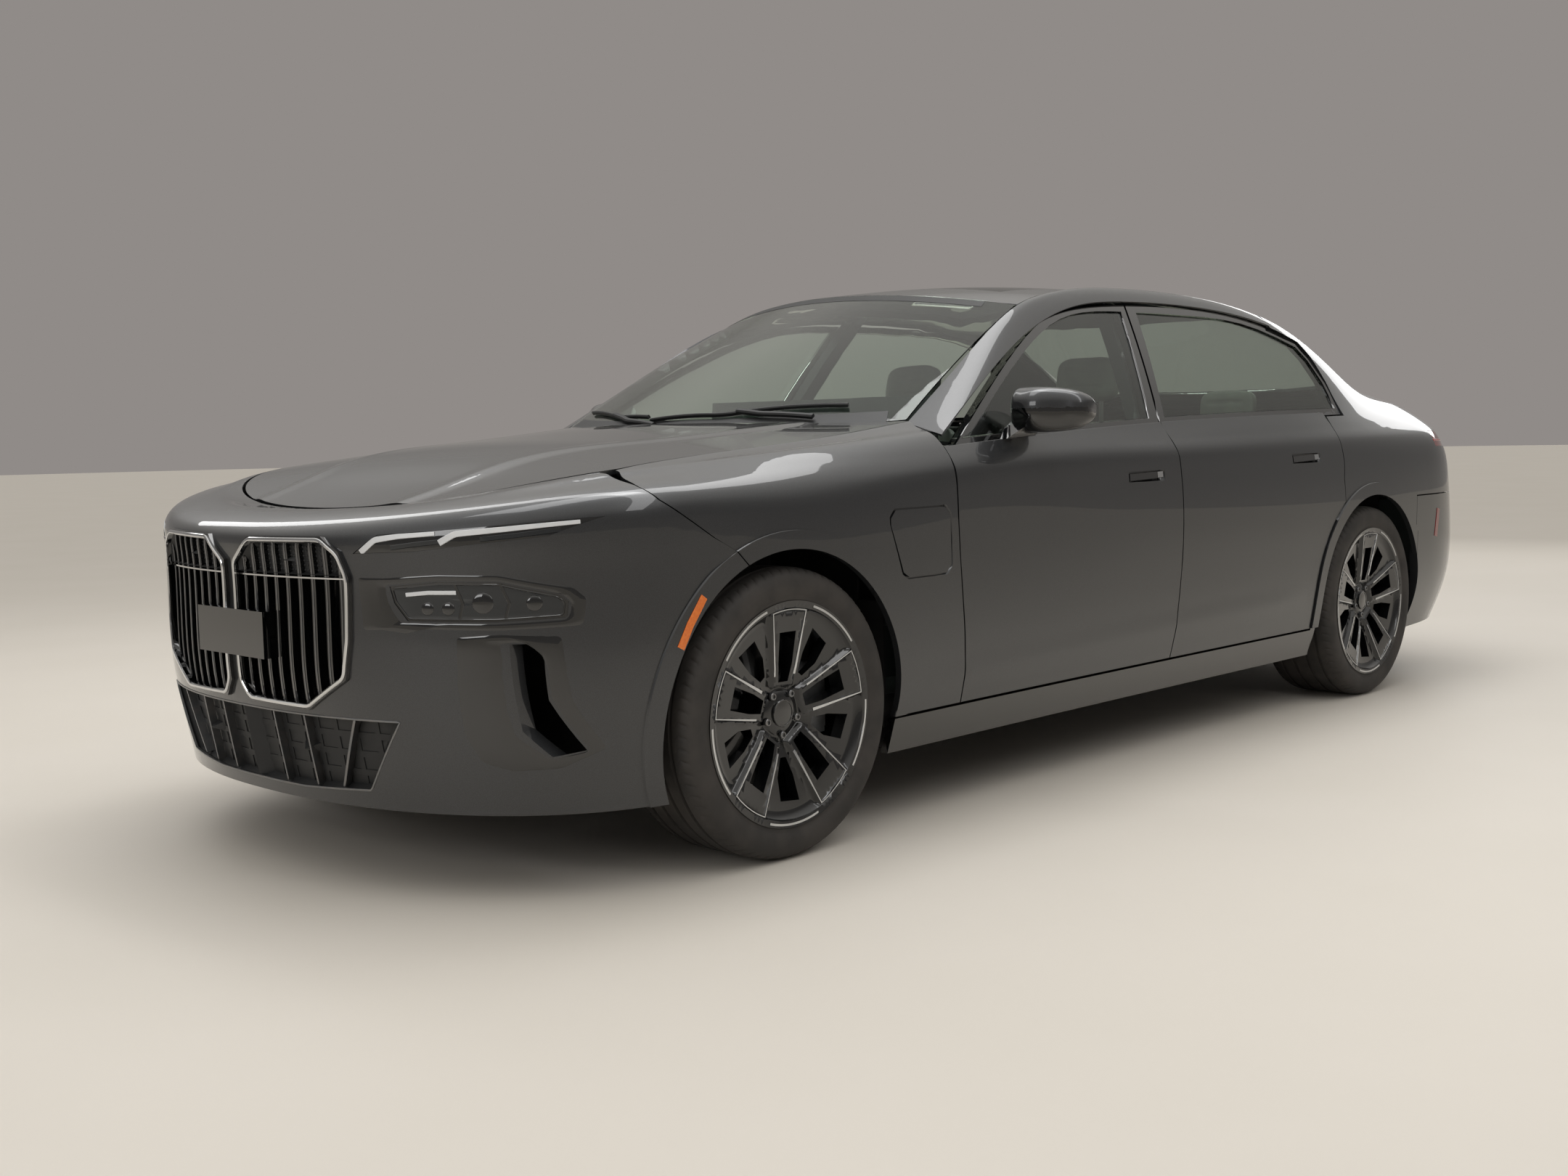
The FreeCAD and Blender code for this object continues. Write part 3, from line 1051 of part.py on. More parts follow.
def write_running_gear():
    y, z = AXLE_FRONT, TYRE_RADIUS
    x0 = half_track(True) + TYRE_WIDTH_FRONT / 2 - DISC_SETBACK
    stub_end = half_track(True) + TYRE_WIDTH_FRONT / 2 - 44 - 33
    stub = cylinder(HUB_BORE - SEAT_GAP, stub_end - 780, Vector(780, y, z), Vector(1, 0, 0))
    upright = box(742, x0 - 7, y - 42, y + 42, z - 150, z + 150)
    arm = box(742, x0 - 7, y + 30, y + 160, z - 60, z + 60)
    inner = box(x0 - 38, x0 - 7, y + 100, y + 205, z - 80, z + 80)
    outer = box(x0 + DISC_THICKNESS + 7, x0 + DISC_THICKNESS + 26, y + 110, y + 205, z - 80, z + 80)
    bridge = box(x0 - 38, x0 + DISC_THICKNESS + 26, y + 196, y + 208, z - 66, z + 66)
    knuckle = fuse([stub, upright, arm, inner, outer, bridge])
    save("knuckle_left", knuckle)
    save("knuckle_right", mirror(knuckle))
    low = [box(-1, 400, y - 190, y - 120, 240, 300), box(-1, 400, y + 120, y + 190, 240, 300)]
    low.append(box(330, 400, y - 190, y + 190, 240, 300))
    low.append(box(390, 792, y - 24, y + 24, 190, 206))
    low.append(cylinder(14, 10.7, Vector(776, y, 202), Vector(0, 0, 1)))
    low.append(box(390, 440, y - 24, y + 24, 190, 250))
    low.append(box(380, 400, y - 190, y - 150, 290, 399.7))
    low.append(box(380, 400, y + 150, y + 190, 290, 399.7))
    half = fuse(low)
    save("front_subframe", fuse([half, mirror(half)]))
    y = AXLE_REAR
    x0 = half_track(False) + TYRE_WIDTH_REAR / 2 - DISC_SETBACK
    stub_end = half_track(False) + TYRE_WIDTH_REAR / 2 - 44 - 33
    parts = [cylinder(HUB_BORE - SEAT_GAP, stub_end - 500, Vector(500, y, z), Vector(1, 0, 0))]
    parts.append(box(700, x0 - 7, y - 42, y + 42, z - 130, z + 130))
    parts.append(box(-1, 560, y - 200, y - 130, 260, 340))
    parts.append(box(-1, 560, y + 130, y + 200, 260, 340))
    parts.append(box(490, 560, y - 200, y + 200, 260, 340))
    parts.append(box(490, 560, y - 40, y + 40, 330, z + 30))
    parts.append(box(550, 710, y - 30, y + 30, z - 100, z - 80))
    parts.append(box(700, 720, y - 30, y + 30, z - 110, z - 70))
    parts.append(box(x0 - 38, x0 - 7, y + 30, y + 205, z - 80, z + 80))
    parts.append(box(x0 + DISC_THICKNESS + 7, x0 + DISC_THICKNESS + 26, y + 110, y + 205, z - 80, z + 80))
    parts.append(box(x0 - 38, x0 + DISC_THICKNESS + 26, y + 196, y + 208, z - 66, z + 66))
    parts.append(box(500, 560, y - 200, y - 160, 330, 399.7))
    half = fuse(parts)
    save("rear_subframe", fuse([half, mirror(half)]))


# Cabin
STEERING_WHEEL = (380, AXLE_FRONT + 1150, 880)
STEERING_TILT = 24.0


def write_steering_wheel():
    ring = Part.makeTorus(178, 15)
    hub = cylinder(56, 50, Vector(0, 0, -36), Vector(0, 0, 1))
    pieces = [ring, hub, box(-178, 178, -16, 16, -12, 6), box(-16, 16, -178, 0, -12, 6)]
    wheel = fuse(pieces)
    wheel.rotate(Vector(0, 0, 0), Vector(1, 0, 0), STEERING_TILT - 90)
    x, y, z = STEERING_WHEEL
    save("steering_wheel", wheel.translated(Vector(x, y, z)))


def seat(x, width):
    """Seat with its cushion, backrest and headrest, facing forwards."""
    y = AXLE_FRONT + 1400
    cushion = [(y, 330), (y - 10, 500), (y + 30, 540), (y + 500, 505), (y + 520, 330)]
    back = [(y + 440, 480), (y + 660, 1080), (y + 730, 1100), (y + 760, 1060), (y + 600, 480)]
    head = [(y + 665, 1130), (y + 690, 1290), (y + 740, 1300), (y + 775, 1280), (y + 760, 1130)]
    parts = [outline_prism(cushion, x - width / 2, x + width / 2), outline_prism(back, x - width / 2, x + width / 2),
             outline_prism(head, x - 130, x + 130)]
    parts.append(box(x - 60, x + 60, y + 700, y + 735, 1080, 1140))
    parts.append(box(x - width / 2 + 30, x + width / 2 - 30, y + 20, y + 480, 225.3, 340))
    return fuse(parts)


def write_cabin():
    y = AXLE_FRONT
    profile = ((y + 514.3, 700), (y + 514.3, 960), (y + 640, 1040), (y + 900, 1015), (y + 980, 960), (y + 960, 820),
               (y + 880, 700))
    dash = outline_prism(profile, -740, 740)
    x, wy, wz = STEERING_WHEEL
    t = math.radians(STEERING_TILT)
    direction = Vector(0, -math.cos(t), -math.sin(t))
    column = cylinder(32, 250, Vector(x, wy, wz) + direction * (36 + SEAT_GAP), direction)
    screen = outline_prism(((y + 900, 1000), (y + 914, 1150), (y + 926, 1150), (y + 960, 980)), -260, 660)
    console = outline_prism(((y + 840, 400.3), (y + 840, 760), (y + 900, 760), (y + 1000, 640), (y + 1900, 620),
                             (y + 1900, 400.3)), -125, 125)
    save("dashboard", fuse([dash, column, screen, console]))
    write_steering_wheel()
    save("front_seats", both(seat(400, 500)))
    y = AXLE_REAR
    cushion = ((y - 640, 330), (y - 650, 500), (y - 600, 560), (y - 150, 510), (y - 120, 416.3), (y - 442.3, 416.3),
               (y - 442.3, 330))
    back = ((y - 200, 480), (y - 60, 1020), (y - 36, 1030), (y - 30.3, 980), (y - 30.3, 440), (y - 180, 440))
    parts = [outline_prism(cushion, -630, 630), outline_prism(back, -630, 630)]
    for x in (-390, 390):
        head = ((y - 110, 1010), (y - 100, 1180), (y - 50, 1190), (y - 36, 1010))
        parts.append(outline_prism(head, x - 125, x + 125))
    parts.append(box(-600, 600, y - 620, y - 460, 225.3, 340))
    save("rear_seat", fuse(parts).cut(box(-150, 150, y - 700, y - 442, 200, 400.3)))


def main():
    os.makedirs("parts", exist_ok=True)
    write_wheels()
    write_fenders()
    for side in (1, -1):
        for front in (True, False):
            write_door(front, side)
    write_mirrors()
    write_nose()
    write_bonnet()
    write_tail()
    write_body()
    write_sills()
    write_floor()
    write_running_gear()
    write_cabin()


main()
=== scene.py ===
"""Finish of a full-size four-door luxury sedan, built around its CAD model.

The body's panels keep the CAD outline. Their surfaces are worked out again here from the same lines, so
that the lacquer gets true normals and its pressed creases, and the small pieces are laid on those surfaces.
"""

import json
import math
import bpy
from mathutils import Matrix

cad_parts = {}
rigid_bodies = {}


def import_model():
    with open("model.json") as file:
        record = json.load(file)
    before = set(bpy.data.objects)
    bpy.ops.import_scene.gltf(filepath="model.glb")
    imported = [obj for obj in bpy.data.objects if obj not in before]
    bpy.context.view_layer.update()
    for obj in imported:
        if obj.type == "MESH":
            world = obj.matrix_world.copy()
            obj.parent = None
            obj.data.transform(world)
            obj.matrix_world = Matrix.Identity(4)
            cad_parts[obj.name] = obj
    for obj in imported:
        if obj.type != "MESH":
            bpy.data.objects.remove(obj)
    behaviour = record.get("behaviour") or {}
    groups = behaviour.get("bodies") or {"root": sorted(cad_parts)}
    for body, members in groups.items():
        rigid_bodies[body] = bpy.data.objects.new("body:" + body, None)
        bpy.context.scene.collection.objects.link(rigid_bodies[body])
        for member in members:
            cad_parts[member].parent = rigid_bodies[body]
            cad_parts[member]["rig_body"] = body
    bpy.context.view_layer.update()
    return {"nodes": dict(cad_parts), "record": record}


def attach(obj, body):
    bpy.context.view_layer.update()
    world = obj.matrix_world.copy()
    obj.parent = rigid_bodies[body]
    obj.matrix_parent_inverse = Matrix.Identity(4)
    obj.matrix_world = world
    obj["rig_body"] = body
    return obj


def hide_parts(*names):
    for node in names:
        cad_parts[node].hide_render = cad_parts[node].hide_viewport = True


bl_info = {
    "name": "Graphite sedan",
    "version": (1, 0, 0),
    "blender": (4, 5, 0),
    "location": "View3D > Sidebar > Sedan",
    "description": "Builds the paint, glass, lamps, wheels and trim of a four-door sedan",
    "category": "Object",
}

import bmesh
import bpy
import numpy as np
from mathutils import Matrix, Vector, kdtree

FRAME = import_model()
MM = 0.001

# Named values of the CAD model, in millimetres: +Z up, nose towards -Y, left side at +X
LENGTH = 5391.0
NOSE, TAIL = -LENGTH / 2, LENGTH / 2
AXLE_FRONT = NOSE + 970.0
AXLE_REAR = AXLE_FRONT + 3215.0
TYRE_RADIUS = 363.0
WHEEL_WIDTH = {"front": 255.0, "rear": 285.0}
TRACK = {"front": 1665.0, "rear": 1650.0}
FRONT_CORNER = AXLE_FRONT - 560.0
DOOR_FRONT = AXLE_FRONT + 680.0
DOOR_MIDDLE = AXLE_FRONT + 1825.0
DOOR_REAR = AXLE_REAR - 225.0
REAR_CORNER = AXLE_REAR + 735.0
MIRROR_REAR = AXLE_FRONT + 1126.0
STATIONS = (NOSE, FRONT_CORNER, AXLE_FRONT, DOOR_FRONT, DOOR_MIDDLE, AXLE_REAR, REAR_CORNER, TAIL)
NOSE_TURN, TAIL_TURN = AXLE_FRONT - 300.0, AXLE_REAR + 485.0
NOSE_POWER, TAIL_POWER = (2.1, 2.3), (3.2, 2.8)
RINGS = (
    ((905, 905, 908, 905, 905, 910, 900, 880), (205, 200, 200, 200, 200, 205, 225, 245), 65, 120),
    ((925, 930, 945, 940, 938, 952, 945, 915), (400, 360, 340, 330, 330, 350, 370, 385), 30, 36),
    ((935, 945, 965, 958, 955, 973, 965, 935), (600, 590, 590, 580, 580, 600, 615, 620), 14, 7),
    ((930, 940, 962, 956, 955, 971, 960, 920), (770, 780, 790, 790, 800, 810, 825, 835), 12, 46),
    ((915, 920, 930, 935, 932, 927, 905, 880), (845, 908, 925, 957, 968, 990, 1000, 1003), 28, 96),
    ((850, 850, 862, 890, 887, 856, 800, 790), (862, 932, 978, 1018, 1052, 1092, 1085, 1075), 100, 150),
)
RING_SPACING = (0.0, 0.12, 0.33, 0.48, 0.60, 0.68, 0.86, 1.0)
BONNET_STATIONS = (NOSE, FRONT_CORNER, FRONT_CORNER + 140, AXLE_FRONT, AXLE_FRONT + 320, DOOR_FRONT)
BONNET_HALF_WIDTH = (765, 765, 765, 766, 768, 772)
BONNET_EDGE_HEIGHT = (885, 948, 970, 1010, 1036, 1077)
BONNET_CROWN = (-60, -14, 15, 34, 36, 26)
CANT_STATIONS = (DOOR_FRONT + 10, DOOR_FRONT + 320, DOOR_FRONT + 690, DOOR_FRONT + 970, DOOR_MIDDLE + 125,
                 DOOR_MIDDLE + 525, DOOR_MIDDLE + 925, AXLE_REAR - 105, AXLE_REAR + 85, AXLE_REAR + 385,
                 REAR_CORNER, TAIL)
CANT_HALF_WIDTH = (880, 800, 712, 676, 661, 661, 680, 712, 722, 722, 712, 690)
CANT_HEIGHT = (1040, 1200, 1362, 1438, 1464, 1466, 1438, 1358, 1285, 1168, 1125, 1103)
EDGE_HALF_WIDTH = (752, 704, 646, 612, 596, 588, 592, 604, 626, 655, 640, 612)
EDGE_HEIGHT = (1076, 1252, 1436, 1488, 1502, 1502, 1476, 1398, 1318, 1198, 1152, 1128)
ROOF_LINE = ((AXLE_FRONT + 1215, 1494), (AXLE_FRONT + 1500, 1526), (AXLE_FRONT + 1950, 1544),
             (AXLE_FRONT + 2400, 1538), (AXLE_FRONT + 2700, 1508), (AXLE_FRONT + 2900, 1476))
BELT_LINE = ((DOOR_FRONT + 60, 1010), (DOOR_FRONT + 740, 1046), (DOOR_MIDDLE + 400, 1072),
             (DOOR_REAR + 170, 1088))
BOOT_START = (AXLE_FRONT + 3665, 1183)
REAR_BASE_EDGE = AXLE_FRONT + 3580
CANT_TURN, EDGE_TURN = 175, 215
WINDSCREEN_BASE, WINDSCREEN_TOP = AXLE_FRONT + 440, AXLE_FRONT + 1215
REAR_WINDOW_TOP = AXLE_FRONT + 2900
LID_HALF_WIDTH = 597.5
LOW_FOLD_HEIGHT, LOW_FOLD_SLOPE = 372, 0.018
BONNET_FOLD_START, BONNET_FOLD_SPREAD, BONNET_LENGTH = 300, 225, 1450


# Surfaces of the body
def spline(knots, values):
    """Natural cubic spline through the values at the knots, and straight beyond both ends."""
    t, y = np.asarray(knots, float), np.asarray(values, float)
    flat = y.ndim == 1
    y = y[:, None] if flat else y
    h, n = np.diff(t), len(t)
    slope = np.diff(y, axis=0) / h[:, None]
    system, right = np.eye(n), np.zeros_like(y)
    inner = np.arange(1, n - 1)
    system[inner, inner - 1] = h[:-1]
    system[inner, inner] = 2 * (h[:-1] + h[1:])
    system[inner, inner + 1] = h[1:]
    right[1:-1] = 6 * np.diff(slope, axis=0)
    bend = np.linalg.solve(system, right)
    first = slope[0] - h[0] * bend[1] / 6
    last = slope[-1] + h[-1] * bend[-2] / 6

    def value(x):
        x = np.asarray(x, float)
        c = np.clip(x, t[0], t[-1])
        i = np.clip(np.searchsorted(t, c, side="right") - 1, 0, n - 2)
        a, b, k = (t[i + 1] - c)[..., None], (c - t[i])[..., None], h[i][..., None]
        result = (bend[i] * a ** 3 + bend[i + 1] * b ** 3) / (6 * k)
        result += (y[i] / k - bend[i] * k / 6) * a + (y[i + 1] / k - bend[i + 1] * k / 6) * b
        result += np.minimum(x - t[0], 0)[..., None] * first + np.maximum(x - t[-1], 0)[..., None] * last
        return result[..., 0] if flat else result

    return value


def through(points):
    return spline([p[0] for p in points], [p[1] for p in points])


RING_WIDTH = [spline(STATIONS, ring[0]) for ring in RINGS]
RING_HEIGHT = [spline(STATIONS, ring[1]) for ring in RINGS]
RISE = spline(RING_SPACING, np.eye(8))
bonnet_half_width = spline(BONNET_STATIONS, BONNET_HALF_WIDTH)
bonnet_edge_height = spline(BONNET_STATIONS, BONNET_EDGE_HEIGHT)
bonnet_crown = spline(BONNET_STATIONS, BONNET_CROWN)
cant_half_width = spline(CANT_STATIONS, CANT_HALF_WIDTH)
cant_height = spline(CANT_STATIONS, CANT_HEIGHT)
edge_half_width = spline(CANT_STATIONS, EDGE_HALF_WIDTH)
edge_height = spline(CANT_STATIONS, EDGE_HEIGHT)
roof_height = through(ROOF_LINE)
belt_height = through(BELT_LINE)


def bonnet_height(x, y):
    """Parabola across the car: the edge's height plus the crown where x is 0."""
    return bonnet_edge_height(y) + bonnet_crown(y) * (1 - (x / bonnet_half_width(y)) ** 2)


def on_outline(width, back, front, s):
    """Line round the car with half width width(y): s 0 at the nose, 1 to 2 along the side, 3 at the tail.

    Its corners are quarters of a superellipse.
    """
    nose = np.clip(np.abs(s), 0, 1) * math.pi / 2
    tail = np.clip(np.abs(3 - s), 0, 1) * math.pi / 2
    reach, rear = NOSE_TURN - NOSE - back, TAIL - front - TAIL_TURN
    y = NOSE_TURN + (s - 1) * (TAIL_TURN - NOSE_TURN)
    y = np.where(s < 1, NOSE_TURN - reach * np.maximum(np.cos(nose), 0) ** (2 / NOSE_POWER[0]), y)
    y = np.where(s > 2, TAIL_TURN + rear * np.maximum(np.cos(tail), 0) ** (2 / TAIL_POWER[0]), y)
    share = np.where(s < 1, np.sign(s) * np.sin(nose) ** (2 / NOSE_POWER[1]), 1.0)
    share = np.where(s > 2, np.sign(3 - s) * np.sin(tail) ** (2 / TAIL_POWER[1]), share)
    return width(y) * share, y


def wall(s, v, cabin):
    """Body's wall: at each s, a natural cubic spline over v through the lines that run round the car."""
    s, v = np.broadcast_arrays(np.asarray(s, float), np.asarray(v, float))
    lines = []
    for k, ring in enumerate(RINGS):
        x, y = on_outline(RING_WIDTH[k], ring[2], ring[3], s)
        lines.append(np.stack((x, y, RING_HEIGHT[k](y)), -1))
    if cabin:
        x, y = on_outline(cant_half_width, 0, CANT_TURN, s)
        lines.append(np.stack((x, y, cant_height(y)), -1))
        x, y = on_outline(edge_half_width, 0, EDGE_TURN, s)
        lines.append(np.stack((x, y, edge_height(y)), -1))
    else:
        x, y = on_outline(bonnet_half_width, 250, 0, s)
        top = np.stack((x, y, bonnet_height(x, y)), -1)
        lines += [lines[-1] * 0.42 + top * 0.58 + np.array((0, 0, 3)), top]
    return np.einsum("k...c,...k->...c", np.array(lines), RISE(v))


def side_s(y):
    return 1 + (y - NOSE_TURN) / (TAIL_TURN - NOSE_TURN)


def halving(test, low, high, shape, rounds=26):
    """Root by repeated halving, for whole arrays: test says where the root lies above."""
    low, high = np.full(shape, float(low)), np.full(shape, float(high))
    for _ in range(rounds):
        middle = (low + high) / 2
        above = test(middle)
        low, high = np.where(above, middle, low), np.where(above, high, middle)
    return low


def side_x(y, z):
    """Half width of the side at (y, z), below the windows."""
    y, z = np.broadcast_arrays(np.asarray(y, float), np.asarray(z, float))
    s = side_s(y)
    v = halving(lambda m: wall(s, m, True)[..., 2] < z, -0.1, 0.74, y.shape)
    return wall(s, v, True)[..., 0]


def window_x(y, z):
    """Half width of the side windows' plane, which leans in from the belt line."""
    rise = z - belt_height(y)
    return side_x(y, belt_height(y)) - 8 - 0.5 * rise - 0.000186 * rise * rise


def spread(u0, u1, nu, v0, v1, nv):
    return np.meshgrid(np.linspace(u0, u1, nu), np.linspace(v0, v1, nv), indexing="ij")


def screen_surface(base_middle, base_edge, top_middle, top_edge, bulge, nu, nv):
    """Curved screen between a bottom and a top edge that bow towards the middle of the car."""
    a, b = spread(-1, 1, nu, 0, 1, nv)
    y0 = base_middle[0] + (base_edge - base_middle[0]) * a * a
    y1 = top_middle + (top_edge - top_middle) * a * a
    z0 = base_middle[1] + (edge_height(base_edge) - base_middle[1]) * a * a
    z1 = roof_height(top_middle) + (edge_height(top_edge) - roof_height(top_middle)) * a * a
    x0, x1 = (edge_half_width(base_edge) - 6) * a, (edge_half_width(top_edge) - 6) * a
    swell = 4 * b * (1 - b)
    x = (x0 + (x1 - x0) * b) * (1 - swell)
    x += (edge_half_width(base_edge + (top_edge - base_edge) * b) - 6) * a * swell
    return np.stack((x, y0 + (y1 - y0) * b, z0 + (z1 - z0) * b + bulge * swell), -1)


def roof_surface(nu, nv):
    a, b = spread(-1, 1, nu, 0, 1, nv)
    y0 = WINDSCREEN_TOP + 155 * a * a
    y = y0 + (REAR_WINDOW_TOP - 80 * a * a - y0) * b
    z = roof_height(y) + (edge_height(y) - roof_height(y)) * np.abs(a) ** 2.2
    return np.stack((edge_half_width(y) * a, y, z), -1)


def boot_surface(nu, nv, nw):
    """Boot lid: its top follows the body's edge, then its rear face goes down the tail."""
    start = side_s(REAR_BASE_EDGE + 10)
    corner = LID_HALF_WIDTH + 5
    stop = float(halving(lambda m: on_outline(edge_half_width, 0, EDGE_TURN, m)[0] > corner, 2.2, 3.0, ()))
    a, b = spread(-1, 1, nu, 0, 1, nv)
    x_side, y_side = on_outline(edge_half_width, 0, EDGE_TURN, start + (stop - start) * b)
    size = np.abs(a)
    first, last = y_side[:, :1], y_side[:, -1:]
    y0 = BOOT_START[0] + 10 + (first - BOOT_START[0] - 10) * a * a

    def at(x, v):
        s = halving(lambda m: wall(m, v, True)[..., 0] > x, 2.2, 3.0, x.shape)
        return wall(s, v, True)

    lip = at(LID_HALF_WIDTH * size, np.ones_like(size))[..., 1]
    share = (y_side - first) / (last - first)
    y = y0 + (lip - y0) * share
    top = np.stack(((x_side - 5) * a, y, edge_height(y) + 14 * (1 - a * a) * (1 - share * share)), -1)
    a, v = spread(-1, 1, nu, 1, 0.42, nw)
    back = at(LID_HALF_WIDTH * np.abs(a), v)
    back[..., 0] = LID_HALF_WIDTH * a
    return top, back


# Pressed creases: how far each panel stands out from its smooth surface, in millimetres
def ridge(t, radius):
    """Smoothed fold line: 0 at t 0 and falling off by a slope of 1 on both sides."""
    return radius - np.sqrt(t * t + radius * radius)


side_crease = through((
    (AXLE_FRONT - 900, 868), (AXLE_FRONT - 640, 900), (AXLE_FRONT - 200, 912), (AXLE_FRONT + 120, 926),
    (AXLE_FRONT + 440, 938), (DOOR_MIDDLE, 958), (AXLE_REAR, 985), (AXLE_REAR + 700, 1000)))


def low_fold(y):
    """Height of the fold low on the doors."""
    return LOW_FOLD_HEIGHT + LOW_FOLD_SLOPE * (y - AXLE_FRONT)


def bonnet_fold(y):
    """Distance of the bonnet's long folds from its middle, and their share of the way to the windscreen."""
    share = np.clip((y - NOSE) / BONNET_LENGTH, 0, 1)
    return BONNET_FOLD_START + BONNET_FOLD_SPREAD * share, share


def side_relief(p):
    """Shoulder fold, and a shallow fold low on the doors."""
    y, z = p[..., 1], p[..., 2]
    fade = np.clip((y - NOSE - 330) / 250, 0, 1) * np.clip((TAIL - 60 - y) / 300, 0, 1)
    t = z - side_crease(y)
    fold = 3.4 + 0.055 * ridge(t, 5.0)
    fold = np.where(t > 0, 3.4 + 0.085 * ridge(t, 5.0), fold)
    out = np.maximum(fold, 0) * fade
    inside = np.clip((y - AXLE_FRONT - 520) / 200, 0, 1) * np.clip((AXLE_REAR - 520 - y) / 200, 0, 1)
    return out + np.maximum(2.6 + 0.06 * ridge(z - low_fold(y), 6.0), 0) * inside


def bonnet_relief(p):
    """Two long folds that bound the bonnet's raised middle."""
    line, share = bonnet_fold(p[..., 1])
    t = np.abs(p[..., 0]) - line
    size = 1 - 0.35 * share
    raised = 7.0 / (1 + np.exp(np.clip(t / 9.0, -40, 40)))
    return size * (raised + np.maximum(2.2 + 0.05 * ridge(t + 16, 5.0), 0))


class Surface:
    """A dense grid of points with normals: plain as in the CAD model, dressed with its pressed creases."""

    def __init__(self, grid, relief=None, flip=False):
        nu, nv = grid.shape[:2]
        self.plain = grid.reshape(-1, 3)
        normal = self.unit(np.cross(np.gradient(grid, axis=0), np.gradient(grid, axis=1)))
        normal = -normal if flip else normal
        raised = grid if relief is None else grid + normal * relief(grid)[..., None]
        dressed = normal
        if relief is not None:
            dressed = self.unit(np.cross(np.gradient(raised, axis=0), np.gradient(raised, axis=1)))
            dressed = -dressed if flip else dressed
        self.along = [np.gradient(grid, axis=i).reshape(-1, 3) for i in (0, 1)]
        self.turn = [np.gradient(dressed, axis=i).reshape(-1, 3) for i in (0, 1)]
        self.plain_turn = [np.gradient(normal, axis=i).reshape(-1, 3) for i in (0, 1)]
        self.normal, self.dressed = normal.reshape(-1, 3), dressed.reshape(-1, 3)
        self.relief = relief
        self.trees = {}

    @staticmethod
    def unit(n):
        return n / np.maximum(np.linalg.norm(n, axis=-1, keepdims=True), 1e-9)

    def nearest(self, points, axes):
        """Index of the nearest sample, seen along the axis that is left out, if one is."""
        if axes not in self.trees:
            tree = kdtree.KDTree(len(self.plain))
            flat = np.zeros_like(self.plain)
            flat[:, list(axes)] = self.plain[:, list(axes)]
            for i, p in enumerate(flat.tolist()):
                tree.insert(p, i)
            tree.balance()
            self.trees[axes] = tree
        find = self.trees[axes].find
        flat = np.zeros((len(points), 3))
        flat[:, list(axes)] = points
        return np.array([find(p)[1] for p in flat.tolist()], int)

    def foot(self, p):
        """Signed distance of points from the plain surface, plain and dressed normal, and the miss aside."""
        i = self.nearest(p, (0, 1, 2))
        q = p - self.plain[i]
        a, b = self.along[0][i], self.along[1][i]
        aa, ab, bb = (a * a).sum(1), (a * b).sum(1), (b * b).sum(1)
        qa, qb = (q * a).sum(1), (q * b).sum(1)
        det = np.maximum(aa * bb - ab * ab, 1e-12)
        u, w = (qa * bb - qb * ab) / det, (qb * aa - qa * ab) / det
        aside = np.maximum(np.abs(u), np.abs(w))
        u, w = np.clip(u, -1, 1)[:, None], np.clip(w, -1, 1)[:, None]
        plain = self.unit(self.normal[i] + u * self.plain_turn[0][i] + w * self.plain_turn[1][i])
        dressed = self.unit(self.dressed[i] + u * self.turn[0][i] + w * self.turn[1][i])
        return (q * plain).sum(1), plain, dressed, aside

    def lift(self, flat, axes, out=0.0):
        """Points of the dressed surface from two coordinates, lifted by out, and the normals there."""
        flat = np.asarray(flat, float)
        i = self.nearest(flat, axes)
        a, b = self.along[0][i], self.along[1][i]
        j, k = axes
        q = flat - self.plain[i][:, [j, k]]
        det = a[:, j] * b[:, k] - a[:, k] * b[:, j]
        det = np.where(np.abs(det) < 1e-9, 1e-9, det)
        u = np.clip((q[:, 0] * b[:, k] - q[:, 1] * b[:, j]) / det, -3, 3)[:, None]
        w = np.clip((q[:, 1] * a[:, j] - q[:, 0] * a[:, k]) / det, -3, 3)[:, None]
        p = self.plain[i] + u * a + w * b
        p[:, [j, k]] = flat
        normal = self.unit(self.dressed[i] + u * self.turn[0][i] + w * self.turn[1][i])
        if self.relief is not None:
            p = p + normal * self.relief(p)[:, None]
        return p + normal * np.asarray(out, float).reshape(-1, 1), normal


def wall_surface(s0, s1, ns, v0, v1, nv, cabin):
    s, v = spread(s0, s1, ns, v0, v1, nv)
    return wall(s, v, cabin)


def window_surface():
    y, share = spread(DOOR_FRONT - 60, DOOR_REAR + 240, 130, 0, 1, 50)
    z = belt_height(y) - 34 + (1500 - belt_height(y)) * share
    return np.stack((window_x(y, z), y, z), -1)


def bonnet_surface():
    x, y = spread(-790, 790, 200, NOSE + 150, DOOR_FRONT + 10, 190)
    return np.stack((x, y, bonnet_height(x, y)), -1)


def front_and_sides():
    """Grids of the left wall: from the nose to the front doors, along the cabin, and round the tail."""
    before_doors, after_nose = side_s(DOOR_FRONT + 60), side_s(DOOR_FRONT - 60)
    return (wall_surface(-0.03, before_doors, 420, 0.0, 0.995, 110, False),
            wall_surface(after_nose, 2.0, 330, -0.05, 1.0, 120, True),
            wall_surface(2.0, 3.02, 300, -0.05, 1.0, 120, True))


